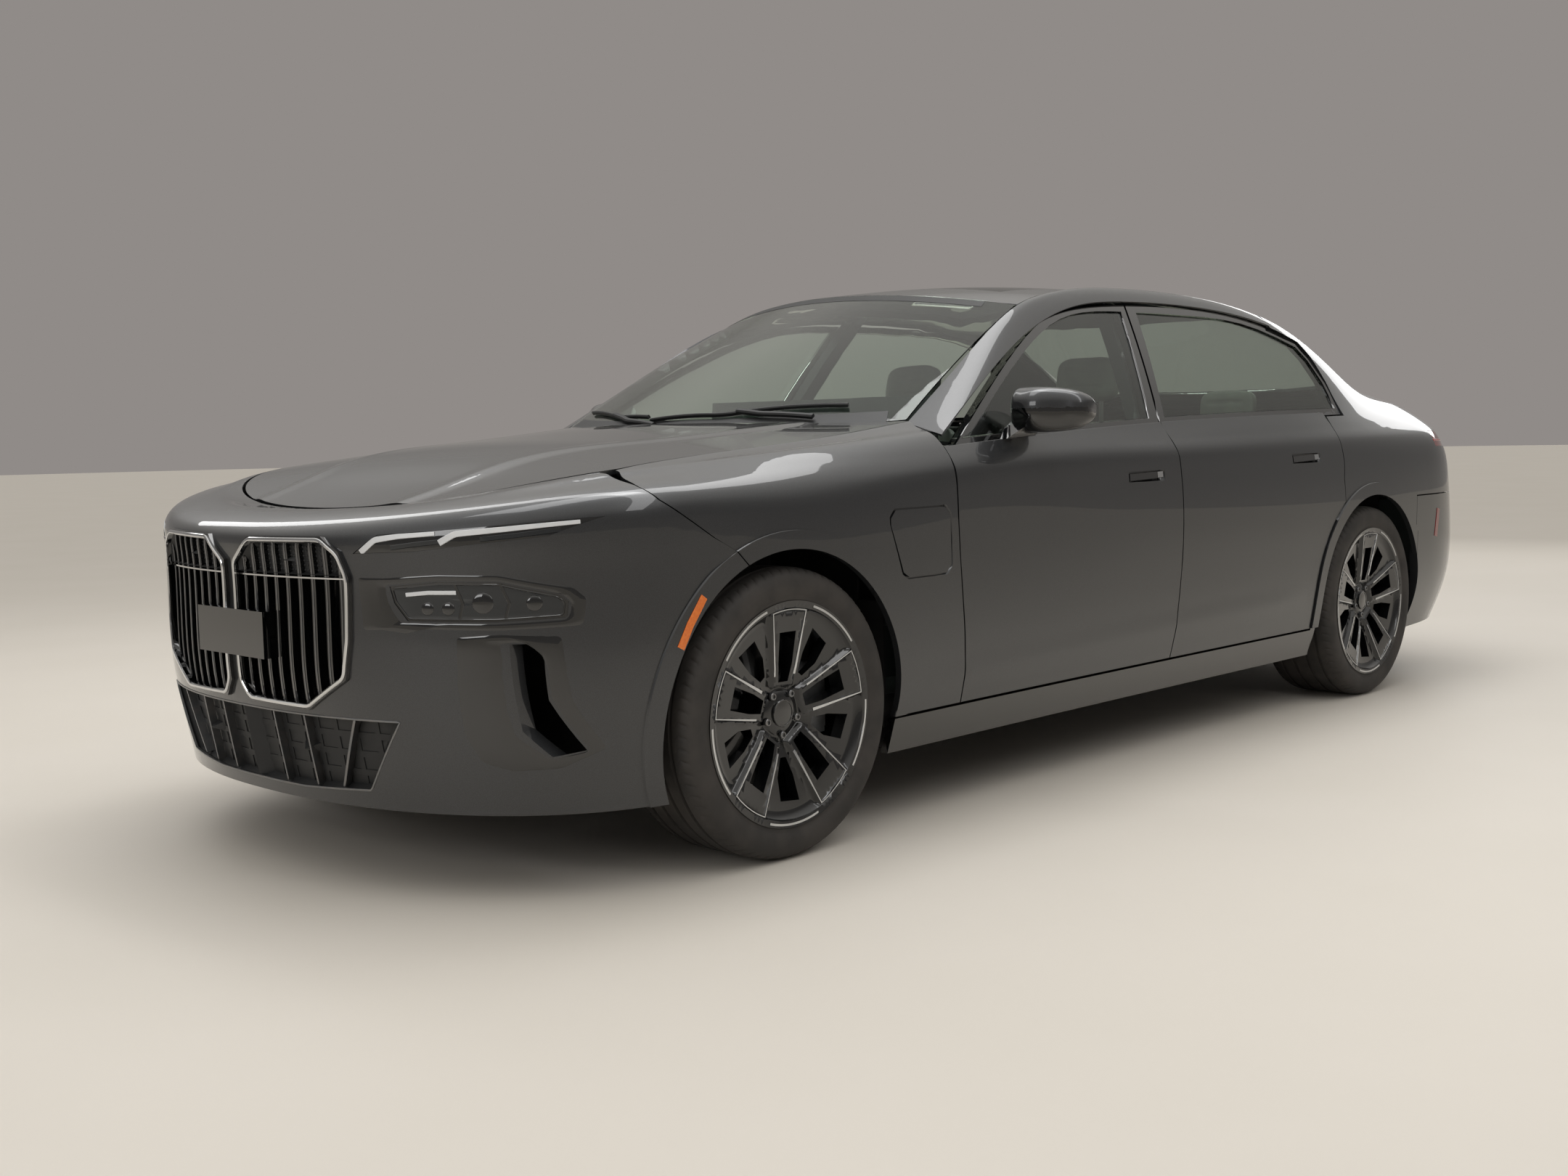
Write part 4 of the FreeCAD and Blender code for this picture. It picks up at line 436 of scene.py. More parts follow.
FRONT_GRID, SIDE_GRID, REAR_GRID = front_and_sides()
LID_TOP, LID_BACK = boot_surface(91, 50, 60)
SURFACES = {
    "front": Surface(FRONT_GRID, side_relief),
    "side": Surface(SIDE_GRID, side_relief),
    "rear": Surface(REAR_GRID, side_relief),
    "window": Surface(window_surface()),
    "bonnet": Surface(bonnet_surface(), bonnet_relief),
    "roof": Surface(roof_surface(90, 120)),
    "windscreen": Surface(screen_surface((WINDSCREEN_BASE, 1058), AXLE_FRONT + 700, WINDSCREEN_TOP,
                                         WINDSCREEN_TOP + 155, 17, 90, 60)),
    "rear_window": Surface(screen_surface(BOOT_START, REAR_BASE_EDGE, REAR_WINDOW_TOP,
                                          REAR_WINDOW_TOP - 80, 14, 90, 60), flip=True),
    "boot": Surface(LID_TOP),
    "boot_back": Surface(LID_BACK),
}


# Materials
def colour(code):
    """sRGB hex to linear RGBA."""
    parts = [int(code[i:i + 2], 16) / 255 for i in (1, 3, 5)]
    return tuple(c / 12.92 if c <= 0.04045 else ((c + 0.055) / 1.055) ** 2.4 for c in parts) + (1.0,)


def add(tree, kind, links=(), **settings):
    """Adds a node. Settings with a name of the node's own are set on it, the others on its inputs."""
    node = tree.nodes.new(kind)
    for name, value in settings.items():
        if hasattr(node, name):
            setattr(node, name, value)
    for name, value in settings.items():
        if not hasattr(node, name):
            node.inputs[name.replace("_", " ")].default_value = value
    for source, target in links:
        tree.links.new(source, node.inputs[target])
    return node


def finish_of(name, base, rough, metal=0.0, grain=None, spots=None, **more):
    """Material with a base colour, grain in its bump and a slow change of tone.

    grain is (size in mm, strength, depth in mm); spots is (size in mm, second colour, share).
    """
    material = bpy.data.materials.new(name)
    material.use_nodes = True
    tree = material.node_tree
    tree.nodes.clear()
    shader = add(tree, "ShaderNodeBsdfPrincipled", Roughness=rough, Metallic=metal, **more)
    shader.inputs["Base Color"].default_value = colour(base)
    place = add(tree, "ShaderNodeTexCoord")
    if spots:
        size, second, share = spots
        noise = add(tree, "ShaderNodeTexNoise", [(place.outputs["Object"], "Vector")], Scale=1000.0 / size,
                    Detail=3.0)
        limits = add(tree, "ShaderNodeMapRange", [(noise.outputs["Fac"], "Value")])
        limits.inputs["From Min"].default_value = 0.35
        limits.inputs["From Max"].default_value = 0.65
        limits.inputs["To Max"].default_value = share
        mix = add(tree, "ShaderNodeMix", [(limits.outputs["Result"], "Factor")], data_type="RGBA")
        mix.inputs["A"].default_value = colour(base)
        mix.inputs["B"].default_value = colour(second)
        tree.links.new(mix.outputs["Result"], shader.inputs["Base Color"])
    if grain:
        size, strength, depth = grain
        noise = add(tree, "ShaderNodeTexNoise", [(place.outputs["Object"], "Vector")], Scale=1000.0 / size,
                    Detail=2.0)
        bump = add(tree, "ShaderNodeBump", [(noise.outputs["Fac"], "Height")], Strength=strength,
                   Distance=depth * MM)
        tree.links.new(bump.outputs["Normal"], shader.inputs["Normal"])
    out = add(tree, "ShaderNodeOutputMaterial")
    tree.links.new(shader.outputs["BSDF"], out.inputs["Surface"])
    return material


def glass_of(name, tint, rough=0.0):
    """Clear solid with a tint, mirror-smooth, that lets lamps shine through it."""
    material = bpy.data.materials.new(name)
    material.use_nodes = True
    tree = material.node_tree
    tree.nodes.clear()
    body = add(tree, "ShaderNodeBsdfPrincipled", Roughness=rough, IOR=1.5)
    body.inputs["Base Color"].default_value = colour(tint)
    body.inputs["Transmission Weight"].default_value = 1.0
    clear = add(tree, "ShaderNodeBsdfTransparent")
    clear.inputs["Color"].default_value = colour(tint)
    path = add(tree, "ShaderNodeLightPath")
    mix = add(tree, "ShaderNodeMixShader", [(path.outputs["Is Shadow Ray"], 0), (body.outputs["BSDF"], 1),
                                            (clear.outputs["BSDF"], 2)])
    out = add(tree, "ShaderNodeOutputMaterial")
    tree.links.new(mix.outputs["Shader"], out.inputs["Surface"])
    return material


def make_materials():
    m = {}
    # Metallic base coat under clear lacquer: dark, with a fine flake that only lifts the highlights
    m["paint"] = finish_of("lacquer_graphite_metallic", "#2B2C2E", 0.36, 0.7, spots=(1.6, "#3E4043", 0.5),
                           Coat_Weight=1.0, Coat_Roughness=0.015)
    # Gloss black acrylic, moulded and polished: a deep even mirror
    m["black_trim"] = finish_of("acrylic_gloss_black", "#08090A", 0.06, grain=(260.0, 0.04, 0.3),
                                Coat_Weight=1.0, Coat_Roughness=0.01)
    # Polypropylene with a fine leather grain from the mould: satin, no mirror
    m["black_plastic"] = finish_of("polypropylene_moulded_black", "#18191A", 0.52, grain=(1.8, 0.35, 0.2),
                                   spots=(40.0, "#1F2021", 0.6))
    # Chromium on plastic: bright, with a slight waviness
    m["bright_trim"] = finish_of("chromium_plated", "#D9DADB", 0.09, 1.0, grain=(90.0, 0.05, 0.2))
    # Injected clear polycarbonate with a hard coat: clear, with a trace of haze
    m["lamp_lens"] = glass_of("polycarbonate_clear_lens", "#D6D8DA", 0.01)
    # Aluminium vapour on plastic behind a clear lens: a grey mirror, softened
    m["lamp_bowl"] = finish_of("polycarbonate_aluminised", "#34373A", 0.22, 0.85, grain=(30.0, 0.1, 0.3),
                               Coat_Weight=1.0)
    # Light guide moulded with a white pigment: it scatters, so it reads as an even pale bar
    m["lamp_core"] = finish_of("polycarbonate_satin_white", "#D4D6D8", 0.35, grain=(3.0, 0.2, 0.2))
    # Acrylic dyed through and polished: deep colour under a clear mirror
    m["red_lens"] = finish_of("acrylic_red_lens", "#6E0A0C", 0.08, spots=(9.0, "#8E1416", 0.5),
                              Coat_Weight=1.0)
    m["lamp_red"] = finish_of("acrylic_red_light_bar", "#B5191C", 0.2, spots=(9.0, "#C4292A", 0.5),
                              Coat_Weight=1.0)
    m["amber_lens"] = finish_of("acrylic_amber_lens", "#D9670A", 0.12, spots=(6.0, "#E87E1A", 0.6),
                                Coat_Weight=1.0)
    # Float glass: iron gives the windows a slight green tint, and the roof's is dyed grey
    m["window_glass"] = glass_of("float_glass_green_tint", "#DCE8DE")
    m["dark_glass"] = glass_of("float_glass_grey_tint", "#4A4E50")
    # Mineral coating sprayed on sheet steel: dull and slightly pebbled
    m["underbody"] = finish_of("sheet_steel_coated_black", "#1B1B1C", 0.75, grain=(6.0, 0.4, 0.4),
                               spots=(80.0, "#252526", 0.8))
    # Sand-cast and shot-blasted: grey, with a soft even sparkle
    m["cast"] = finish_of("aluminium_cast", "#8D8F91", 0.5, 0.9, grain=(1.5, 0.4, 0.2),
                          spots=(30.0, "#77797B", 0.7))
    # Machined iron: grey and satin, uneven in tone
    m["steel"] = finish_of("cast_iron_machined", "#77797B", 0.34, 0.95, grain=(2.5, 0.25, 0.1),
                           spots=(25.0, "#8A8785", 0.6))
    # Forged aluminium under black lacquer: a dark shine with little depth
    m["wheel_metal"] = finish_of("aluminium_lacquered_black", "#0E0F10", 0.2, 0.3,
                                 spots=(5.0, "#141517", 0.5), Coat_Weight=0.8, Coat_Roughness=0.05)
    # Diamond-turned face under clear lacquer: bright, with fine marks that soften the mirror
    m["wheel_face"] = finish_of("aluminium_turned_clear_coated", "#C9CBCD", 0.2, 1.0, grain=(0.9, 0.12, 0.05),
                                Coat_Weight=0.5)
    # Carbon-filled rubber: nearly black, dull, dusty on the shoulder
    m["tyre"] = finish_of("rubber_carbon_black", "#2A2826", 0.72, grain=(2.0, 0.3, 0.2),
                          spots=(70.0, "#3A3633", 0.8))
    # Slush-moulded skin with a leather print: dull and soft
    m["cabin_plastic"] = finish_of("polyurethane_slush_skin", "#26282A", 0.62, grain=(1.6, 0.4, 0.25),
                                   spots=(60.0, "#2E3032", 0.7))
    # Tanned hide with its own grain: satin, with slow patches of lighter tone
    m["cabin_leather"] = finish_of("leather_full_grain_grey", "#5A5C57", 0.5, grain=(3.5, 0.45, 0.5),
                                   spots=(50.0, "#666860", 0.7))
    # Silver behind glass: a clean mirror
    m["mirror_silver"] = finish_of("glass_silvered", "#C9CDCF", 0.02, 1.0)
    return m


MATERIAL = {}


# Meshes
def shown(name, vertices, faces, material, body, slot=None, smooth=35.0):
    """Makes a piece from arrays in millimetres and lets it ride on a body."""
    mesh = bpy.data.meshes.new(name)
    mesh.from_pydata((np.asarray(vertices, float) * MM).tolist(), [], [list(f) for f in faces])
    mesh.validate()
    mesh.update()
    piece = bpy.data.objects.new(name, mesh)
    bpy.context.scene.collection.objects.link(piece)
    dressed = bmesh.new()
    dressed.from_mesh(mesh)
    bmesh.ops.remove_doubles(dressed, verts=dressed.verts, dist=2e-6)
    bmesh.ops.recalc_face_normals(dressed, faces=dressed.faces)
    dressed.to_mesh(mesh)
    dressed.free()
    for polygon in mesh.polygons:
        polygon.use_smooth = True
    mesh.set_sharp_from_angle(angle=math.radians(smooth))
    mesh.materials.append(MATERIAL[material])
    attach(piece, body)
    if slot or material in [m["slot"] for m in FRAME["record"]["materials"]]:
        slot or material
    return piece


def strip_faces(nu, nv, close_u=False, close_v=False):
    """Quads of a grid with nu rows and nv columns."""
    rows, columns = np.arange(nu if close_u else nu - 1), np.arange(nv if close_v else nv - 1)
    i, j = (k.ravel() for k in np.meshgrid(rows, columns, indexing="ij"))
    k, m = (i + 1) % nu, (j + 1) % nv
    return np.stack((i * nv + j, k * nv + j, k * nv + m, i * nv + m), 1)


def tube_faces(nu, nv, closed):
    """Quads of a profile with nv points carried along nu stations, with end caps if the path is open."""
    faces = [tuple(f) for f in strip_faces(nu, nv, closed, True).tolist()]
    if not closed:
        faces += [tuple(range(nv)), tuple(range((nu - 1) * nv, nu * nv))[::-1]]
    return faces


def carried(path, up, profile, closed=False):
    """Profile of (across, out) points carried along a path; up is the normal of the surface beneath it."""
    path, up = np.asarray(path, float), np.asarray(up, float)
    if closed:
        ahead = np.roll(path, -1, 0) - np.roll(path, 1, 0)
    else:
        ahead = np.gradient(path, axis=0)
    ahead /= np.maximum(np.linalg.norm(ahead, axis=1, keepdims=True), 1e-9)
    across = Surface.unit(np.cross(up, ahead))
    profile = np.asarray(profile, float)
    profile = profile if profile.ndim == 3 else np.broadcast_to(profile, (len(path),) + profile.shape)
    points = path[:, None] + profile[..., :1] * across[:, None] + profile[..., 1:] * up[:, None]
    return points.reshape(-1, 3), tube_faces(len(path), profile.shape[1], closed)


def resample(points, count, closed=False, rounding=0.0):
    """Points spaced evenly along a polyline, its corners rounded by averaging over a length."""
    p = np.asarray(points, float)
    p = np.vstack((p, p[:1])) if closed else p
    length = np.concatenate(([0], np.cumsum(np.linalg.norm(np.diff(p, axis=0), axis=1))))
    t = np.linspace(0, length[-1], count, endpoint=not closed)
    if rounding <= 0:
        return np.stack([np.interp(t, length, c) for c in p.T], 1)
    result = 0
    for shift in np.linspace(-rounding, rounding, 9):
        u = t + shift
        u = u % length[-1] if closed else np.clip(u, 0, length[-1])
        result = result + np.stack([np.interp(u, length, c) for c in p.T], 1)
    result /= 9
    if not closed:
        result[0], result[-1] = p[0], p[-1]
    return result


def both_sides(points, faces):
    """The piece and its mirror image across the car's middle plane."""
    points = np.asarray(points, float)
    other = points * np.array((-1.0, 1, 1))
    faces = [tuple(f) for f in faces]
    n = len(points)
    return np.vstack((points, other)), faces + [tuple(i + n for i in f)[::-1] for f in faces]


def joined(*parts):
    points, faces, n = [], [], 0
    for p, f in parts:
        points.append(np.asarray(p, float))
        faces += [tuple(int(i) + n for i in face) for face in f]
        n += len(p)
    return np.vstack(points), faces


PAIRED = ("front", "side", "rear", "window")
FACING_MIN, REACH, ASIDE_MAX = 0.9, 16, 1.6


def feet(p, names, facing):
    """For points and the directions they face: distance, normals and relief on the surface that fits best.

    A surface fits by how well it faces the same way, less a hundredth for each millimetre between them.
    """
    best = np.full(len(p), -1.0)
    distance, relief = np.zeros(len(p)), np.zeros(len(p))
    plain, dressed = np.zeros((len(p), 3)), np.zeros((len(p), 3))
    for name in names:
        surface = SURFACES[name]
        sign = np.where(p[:, :1] < 0, -1.0, 1.0) if name in PAIRED else np.ones((len(p), 1))
        turn = np.hstack((sign, np.ones((len(p), 2))))
        d, n, r, aside = surface.foot(p * turn)
        n, r = n * turn, r * turn
        fit = (n * facing).sum(1)
        score = fit - np.abs(d) * 0.01
        good = (fit > FACING_MIN) & (np.abs(d) < REACH) & (aside < ASIDE_MAX) & (score > best)
        on_it = p * turn - n * turn * d[:, None]
        lifted = np.zeros(len(p)) if surface.relief is None else surface.relief(on_it)
        best = np.where(good, score, best)
        distance, relief = np.where(good, d, distance), np.where(good, lifted, relief)
        plain, dressed = np.where(good[:, None], n, plain), np.where(good[:, None], r, dressed)
    return best > 0, distance, plain, dressed, relief


def dress(node, name, material, surfaces, second=None, where=None, longest=46.0, fine=None):
    """Copy of a CAD node with true normals: long edges are split, new points are set on the surface.

    The whole mesh then follows the surface's pressed creases. second is a material for faces where
    where(centres) holds; fine(points) says where edges are split down to a third.
    """
    source = FRAME["nodes"][node]
    mesh = source.data.copy()
    mesh.materials.clear()
    work = bmesh.new()
    work.from_mesh(mesh)
    bmesh.ops.remove_doubles(work, verts=work.verts, dist=1e-6)
    bmesh.ops.dissolve_degenerate(work, edges=work.edges, dist=1e-7)
    for step in range(4 if surfaces else 0):
        work.verts.ensure_lookup_table()
        work.edges.ensure_lookup_table()
        p = np.array([v.co for v in work.verts]) / MM
        work.normal_update()
        ends = np.array([(e.verts[0].index, e.verts[1].index) for e in work.edges])
        length = np.linalg.norm(p[ends[:, 0]] - p[ends[:, 1]], axis=1)
        centre = (p[ends[:, 0]] + p[ends[:, 1]]) / 2
        limit = np.full(len(ends), longest)
        if fine is not None:
            limit = np.where(fine(centre), longest / 3, limit)
        chosen = np.nonzero(length > limit)[0]
        if len(chosen) == 0:
            break
        facing = np.array([max((f.normal for f in work.edges[i].link_faces), key=lambda n: n.length)
                           for i in chosen.tolist()])
        ok, middle, plain, _, _ = feet(centre[chosen], surfaces, facing)
        ok0, d0, _, _, _ = feet(p[ends[chosen, 0]], surfaces, np.where(ok[:, None], plain, facing))
        ok1, d1, _, _, _ = feet(p[ends[chosen, 1]], surfaces, np.where(ok[:, None], plain, facing))
        use = ok & ok0 & ok1 & (np.abs(d0 - d1) < 1.0)
        chosen, shift = chosen[use], (((d0 + d1) / 2 - middle)[:, None] * plain)[use]
        if len(chosen) == 0:
            break
        split = [work.edges[i] for i in chosen.tolist()]
        target = {tuple(np.round(c, 3)): c + s for c, s in zip(centre[chosen], shift)}
        made = bmesh.ops.subdivide_edges(work, edges=split, cuts=1)
        for item in made["geom_inner"]:
            if isinstance(item, bmesh.types.BMVert):
                key = tuple(np.round(np.array(item.co) / MM, 3))
                if key in target:
                    item.co = Vector(target[key] * MM)
        bmesh.ops.triangulate(work, faces=[f for f in work.faces if len(f.verts) > 3])
    work.to_mesh(mesh)
    work.free()
    for polygon in mesh.polygons:
        polygon.use_smooth = True
    mesh.set_sharp_from_angle(angle=math.radians(28))
    piece = bpy.data.objects.new(name, mesh)
    bpy.context.scene.collection.objects.link(piece)
    if surfaces:
        set_normals(mesh, surfaces)
    mesh.materials.append(MATERIAL[material])
    if second:
        mesh.materials.append(MATERIAL[second])
        centre = np.zeros(len(mesh.polygons) * 3)
        mesh.polygons.foreach_get("center", centre)
        mesh.polygons.foreach_set("material_index", where(centre.reshape(-1, 3) / MM).astype(np.int32))
    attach(piece, source["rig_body"])
    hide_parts(node)
    return piece


def set_normals(mesh, surfaces):
    """Moves the mesh onto the creased surfaces and sets the normals of the faces that lie along them."""
    n = len(mesh.vertices)
    p = np.zeros(n * 3)
    mesh.vertices.foreach_get("co", p)
    p = p.reshape(-1, 3) / MM
    corner = np.zeros(len(mesh.loops), int)
    mesh.loops.foreach_get("vertex_index", corner)
    face_normal = np.zeros(len(mesh.polygons) * 3)
    mesh.polygons.foreach_get("normal", face_normal)
    total = np.zeros(len(mesh.polygons), int)
    mesh.polygons.foreach_get("loop_total", total)
    facing = np.repeat(face_normal.reshape(-1, 3), total, 0)
    own = np.zeros(len(mesh.loops) * 3)
    mesh.corner_normals.foreach_get("vector", own)
    own = own.reshape(-1, 3)
    ok, distance, plain, dressed, relief = feet(p[corner], surfaces, facing)
    own = np.where(ok[:, None], dressed, own)
    push, count = np.zeros((n, 3)), np.zeros(n)
    np.add.at(push, corner[ok], plain[ok] * relief[ok][:, None])
    np.add.at(count, corner[ok], 1)
    p = p + push / np.maximum(count, 1)[:, None]
    mesh.vertices.foreach_set("co", (p * MM).ravel())
    mesh.update()
    mesh.normals_split_custom_set(own.tolist())


# Wheels
SPOKES = 5
BLADE_FOOT, BLADE_TIP = (101.0, 19.8), (258.5, 12.9)
BOLT_CIRCLE = 55
DISC_EDGE_RADIUS = 163
TREAD_PITCHES, PITCH_STEPS = 74, 6


def turned(profile, count):
    """Profile of (x, radius) points turned round the X axis."""
    profile = np.asarray(profile, float)
    angle = np.linspace(0, 2 * math.pi, count, endpoint=False)[:, None]
    radius = np.broadcast_to(profile[:, 1], (count, len(profile)))
    x = np.broadcast_to(profile[:, 0], radius.shape)
    return np.stack((x, radius * np.sin(angle), radius * np.cos(angle)), -1)


class Wheel:
    """One wheel's own measures, and its pieces in their places. Local x points outwards from the car."""

    def __init__(self, end, word):
        self.half = WHEEL_WIDTH[end] / 2
        self.axle = AXLE_FRONT if end == "front" else AXLE_REAR
        self.track = TRACK[end] / 2
        self.sign = 1 if word == "left" else -1
        self.body = f"wheel_{end}_{word}"
        self.carrier = f"knuckle_{word}" if end == "front" else "car_body"

    def place(self, points, faces):
        points = np.asarray(points, float).reshape(-1, 3) + (self.track, 0, TYRE_RADIUS)
        points = points * (self.sign, 1, 1) + (0, self.axle, 0)
        return points, faces

    def tyre(self):
        """Tyre: bead, bulged side wall with a rim guard, shoulder with cross cuts, tread with grooves."""
        h = self.half
        side = [(h - 47, 262.4), (h - 30, 269.0), (h - 17, 273.4), (h - 12.5, 277.5), (h - 9.6, 279.0),
                (h - 8.2, 282.5), (h - 7.6, 285.5), (h - 7.9, 288.5), (h - 4.6, 295), (h - 1.9, 303),
                (h - 0.7, 311), (h - 0.25, 319), (h - 0.6, 327), (h - 2.0, 334), (h - 4.2, 340.5),
                (h - 7.6, 346.5), (h - 11.6, 351), (h - 17, 355), (h - 24, 358.2), (h - 33, 360.6),
                (h - 42, 361.9)]
        grooves = []
        for x in (h * 0.56, h * 0.2):
            grooves += [(x + 6.2, 362.6), (x + 5.0, 356.0), (x - 5.0, 356.0), (x - 6.2, 362.6)]
        right = side + [(h - 48, 362.3)] + grooves
        profile = right + [(-x, q) for x, q in right[::-1]]
        hollow = [(h - 44, 345), (h - 24, 318), (h - 46, 266)]
        inner = [(-x, q) for x, q in hollow[::-1]] + hollow
        n = TREAD_PITCHES * PITCH_STEPS
        points = turned(profile + inner, n)
        x, radius = points[..., 0], np.hypot(points[..., 1], points[..., 2])
        step = np.arange(n)[:, None] % PITCH_STEPS
        zone = (np.abs(x) > h - 40) & (np.abs(x) < h - 9) & (radius > 349)
        cut = np.where((step == 0) & zone, 2.6, 0.0)
        tread = (np.abs(x) < h * 0.5) & (np.abs(x) > h * 0.26) & (radius > 360)
        cut = np.where((step == 3) & tread, 3.0, cut)
        scale = (radius - cut) / radius
        points[..., 1] *= scale
        points[..., 2] *= scale
        turn = np.radians((h - np.abs(x)) * 0.06) * np.where(zone, 1.0, 0.0)
        y, z = points[..., 1].copy(), points[..., 2].copy()
        points[..., 1] = y * np.cos(turn) + z * np.sin(turn)
        points[..., 2] = z * np.cos(turn) - y * np.sin(turn)
        return self.place(points, strip_faces(n, points.shape[1], True, True).tolist())

    def face_x(self, radius):
        """Front of the spokes: straight lines between the radii at which their slope changes."""
        h = self.half
        return np.interp(radius, (60, 120, 240, 264), (h - 42, h - 30, h - 13, h - 10))

    def bar(self, r, degrees, width, height=1.6, sink=1.5):
        """Bar along a line of (radius, degrees) points on the spokes' front."""
        t = np.radians(degrees)
        path = np.stack((self.face_x(r), r * np.sin(t), r * np.cos(t)), 1)
        width = np.broadcast_to(width, (len(r),))[:, None] / 2
        up = np.tile((1.0, 0, 0), (len(r), 1))
        across = np.hstack((-width, -width + 0.5, width - 0.5, width))
        out = np.array((-sink, height, height, -sink)) * np.ones_like(width)
        return carried(path, up, np.stack((across, out), -1))

    def edges(self):
        """Turned bright edges: the frame round each broad spoke, and an arc on the rim between two frames."""
        parts = []
        foot, tip = (radius * np.array((math.sin(math.radians(a)), math.cos(math.radians(a))))
                     for radius, a in (BLADE_FOOT, BLADE_TIP))
        t = np.linspace(0, 1, 9)
        line = foot + (tip - foot) * t[:, None]
        radius, degrees = np.hypot(*line.T), np.degrees(np.arctan2(line[:, 0], line[:, 1]))
        for i in range(SPOKES):
            a = i * 360.0 / SPOKES
            for side, wide in ((-1, 6.0 - 3.0 * t), (1, 8.5 - 5.0 * t)):
                parts.append(self.bar(radius, a + side * degrees, wide))
            parts.append(self.bar(np.full(15, 259.5), a + np.linspace(-13.2, 13.2, 15), 3.4))
            points, faces = self.bar(np.full(23, 272.5), a + np.linspace(17.5, 54.5, 23), 6.5)
            points[:, 0] = np.where(points[:, 0] > self.half - 10, self.half - 6.4, self.half - 16)
            parts.append((points, faces))
        return self.place(*joined(*parts))

    @staticmethod
    def solid(profile, count):
        """Turned profile, closed by flat faces at both of its ends."""
        n = len(profile)
        faces = strip_faces(count, n, True).tolist()
        faces.append([i * n + n - 1 for i in range(count)])
        faces.append([i * n for i in range(count)][::-1])
        return turned(profile, count).reshape(-1, 3), faces

    def cap(self):
        """Blank hub cap: a shallow dome in a stepped ring, and the hub's front round it."""
        x = self.half - 44
        profile = [(x + 0.3, 34.5), (x + 5.5, 34.5), (x + 7, 33), (x + 7, 30.5), (x + 5.4, 29.8),
                   (x + 6.4, 20), (x + 7.0, 10), (x + 7.2, 0.2)]
        return self.place(*self.solid(profile, 64))

    def bolts(self):
        """Wheel bolts: domed round heads in the hub's front."""
        parts = []
        for i in range(SPOKES):
            t = math.radians((i + 0.5) * 360 / SPOKES)
            points, faces = self.solid([(0.3, 9.5), (7, 9.5), (9, 8), (9.4, 5), (5, 4.6), (5, 0.2)], 24)
            seat = (self.half - 47, BOLT_CIRCLE * math.sin(t), BOLT_CIRCLE * math.cos(t))
            parts.append((points + seat, faces))
        return self.place(*joined(*parts))

    def caliper(self):
        """Brake caliper: a rounded box bent round the disc's rear edge."""
        bend, turn = np.radians(np.linspace(52, 112, 25)), np.linspace(0, 2 * math.pi, 28, endpoint=False)
        a, b = np.meshgrid(bend, turn, indexing="ij")
        swell = np.clip(np.minimum(a - a.min(), a.max() - a) / math.radians(7), 0.25, 1) ** 0.5
        c, d = np.cos(b), np.sin(b)
        across = np.sign(c) * np.abs(c) ** 0.45 * 36 * swell
        out = np.sign(d) * np.abs(d) ** 0.45 * 41 * swell
        radius, x = DISC_EDGE_RADIUS + out, self.half - 133 + across
        points = np.stack((x, radius * np.sin(a), radius * np.cos(a)), -1)
        return self.place(points, tube_faces(25, 28, False))


# Pieces
def panel(node, surfaces, **more):
    return dress(node, "lacquered_" + node, "paint", surfaces, **more)


def side_fine(p):
    """Where the side's shoulder fold and its low fold need a finer mesh."""
    near = np.abs(p[:, 2] - side_crease(p[:, 1])) < 26
    return near | (np.abs(p[:, 2] - low_fold(p[:, 1])) < 26)


def bonnet_fine(p):
    """Where the bonnet's long folds need a finer mesh."""
    return np.abs(np.abs(p[:, 0]) - bonnet_fold(p[:, 1])[0] + 6) < 40


def above_belt(p):
    """Faces of a door that belong to its window frame."""
    belt = belt_height(p[:, 1])
    return (p[:, 2] > belt + 1) & (np.abs(p[:, 0]) < side_x(p[:, 1], belt) - 4)


class SedanPaint(bpy.types.PropertyGroup):
    """Lacquer of the body"""

    tone: bpy.props.FloatVectorProperty(name="Tone", description="Colour under the clear lacquer", size=4,
                                        default=colour("#2B2C2E"), min=0.0, max=1.0, subtype="COLOR")
    flake: bpy.props.FloatProperty(name="Flake", description="Metallic share of the base coat", default=0.6,
                                   min=0.0, max=1.0, subtype="FACTOR")


class SedanStage(bpy.types.PropertyGroup):
    """Floor and light"""

    floor: bpy.props.FloatVectorProperty(name="Floor", description="Colour of the floor", size=4,
                                         default=colour("#D0CAC1"), min=0.0, max=1.0, subtype="COLOR")
    level: bpy.props.FloatProperty(name="Light", description="Strength of the lamps", default=1.0,
                                   min=0.0, max=4.0)


# Camera: place in metres from the front axle, and yaw, pitch and roll in degrees
CAMERA_PLACE = (3.742, -2.915, 1.059)
CAMERA_ANGLES = (43.95, -5.43, -1.11)
FOCAL_PIXELS, FRAME_PIXELS, SENSOR_WIDTH = 2288, 2160, 36
FLOOR_RINGS = (0.01, 2, 4, 8, 16, 60)
SKY_TONES = ((0.0, "#8A8682"), (0.18, "#7E7B78"), (0.34, "#8E8B87"), (0.6, "#D8D5D0"), (1.0, "#F4F2EE"))
# Name, place, aim, width and length in metres, and watts
LAMPS = (
    ("lamp_above_left", (2.6, -0.8, 4.6), (0.6, -0.2, 0.6), (0.9, 7.0), 55),
    ("lamp_above_right", (-2.6, -0.8, 4.6), (-0.6, -0.2, 0.6), (0.9, 7.0), 55),
    ("lamp_above", (0, -0.5, 5.2), (0, -0.3, 0), (1.8, 6.0), 90),
    ("lamp_front", (1.5, -9.0, 3.2), (0, -1.5, 0.6), (4.0, 2.0), 90),
    ("lamp_rear", (-1.0, 9.0, 3.4), (0, 1.5, 0.6), (4.0, 2.0), 60),
)


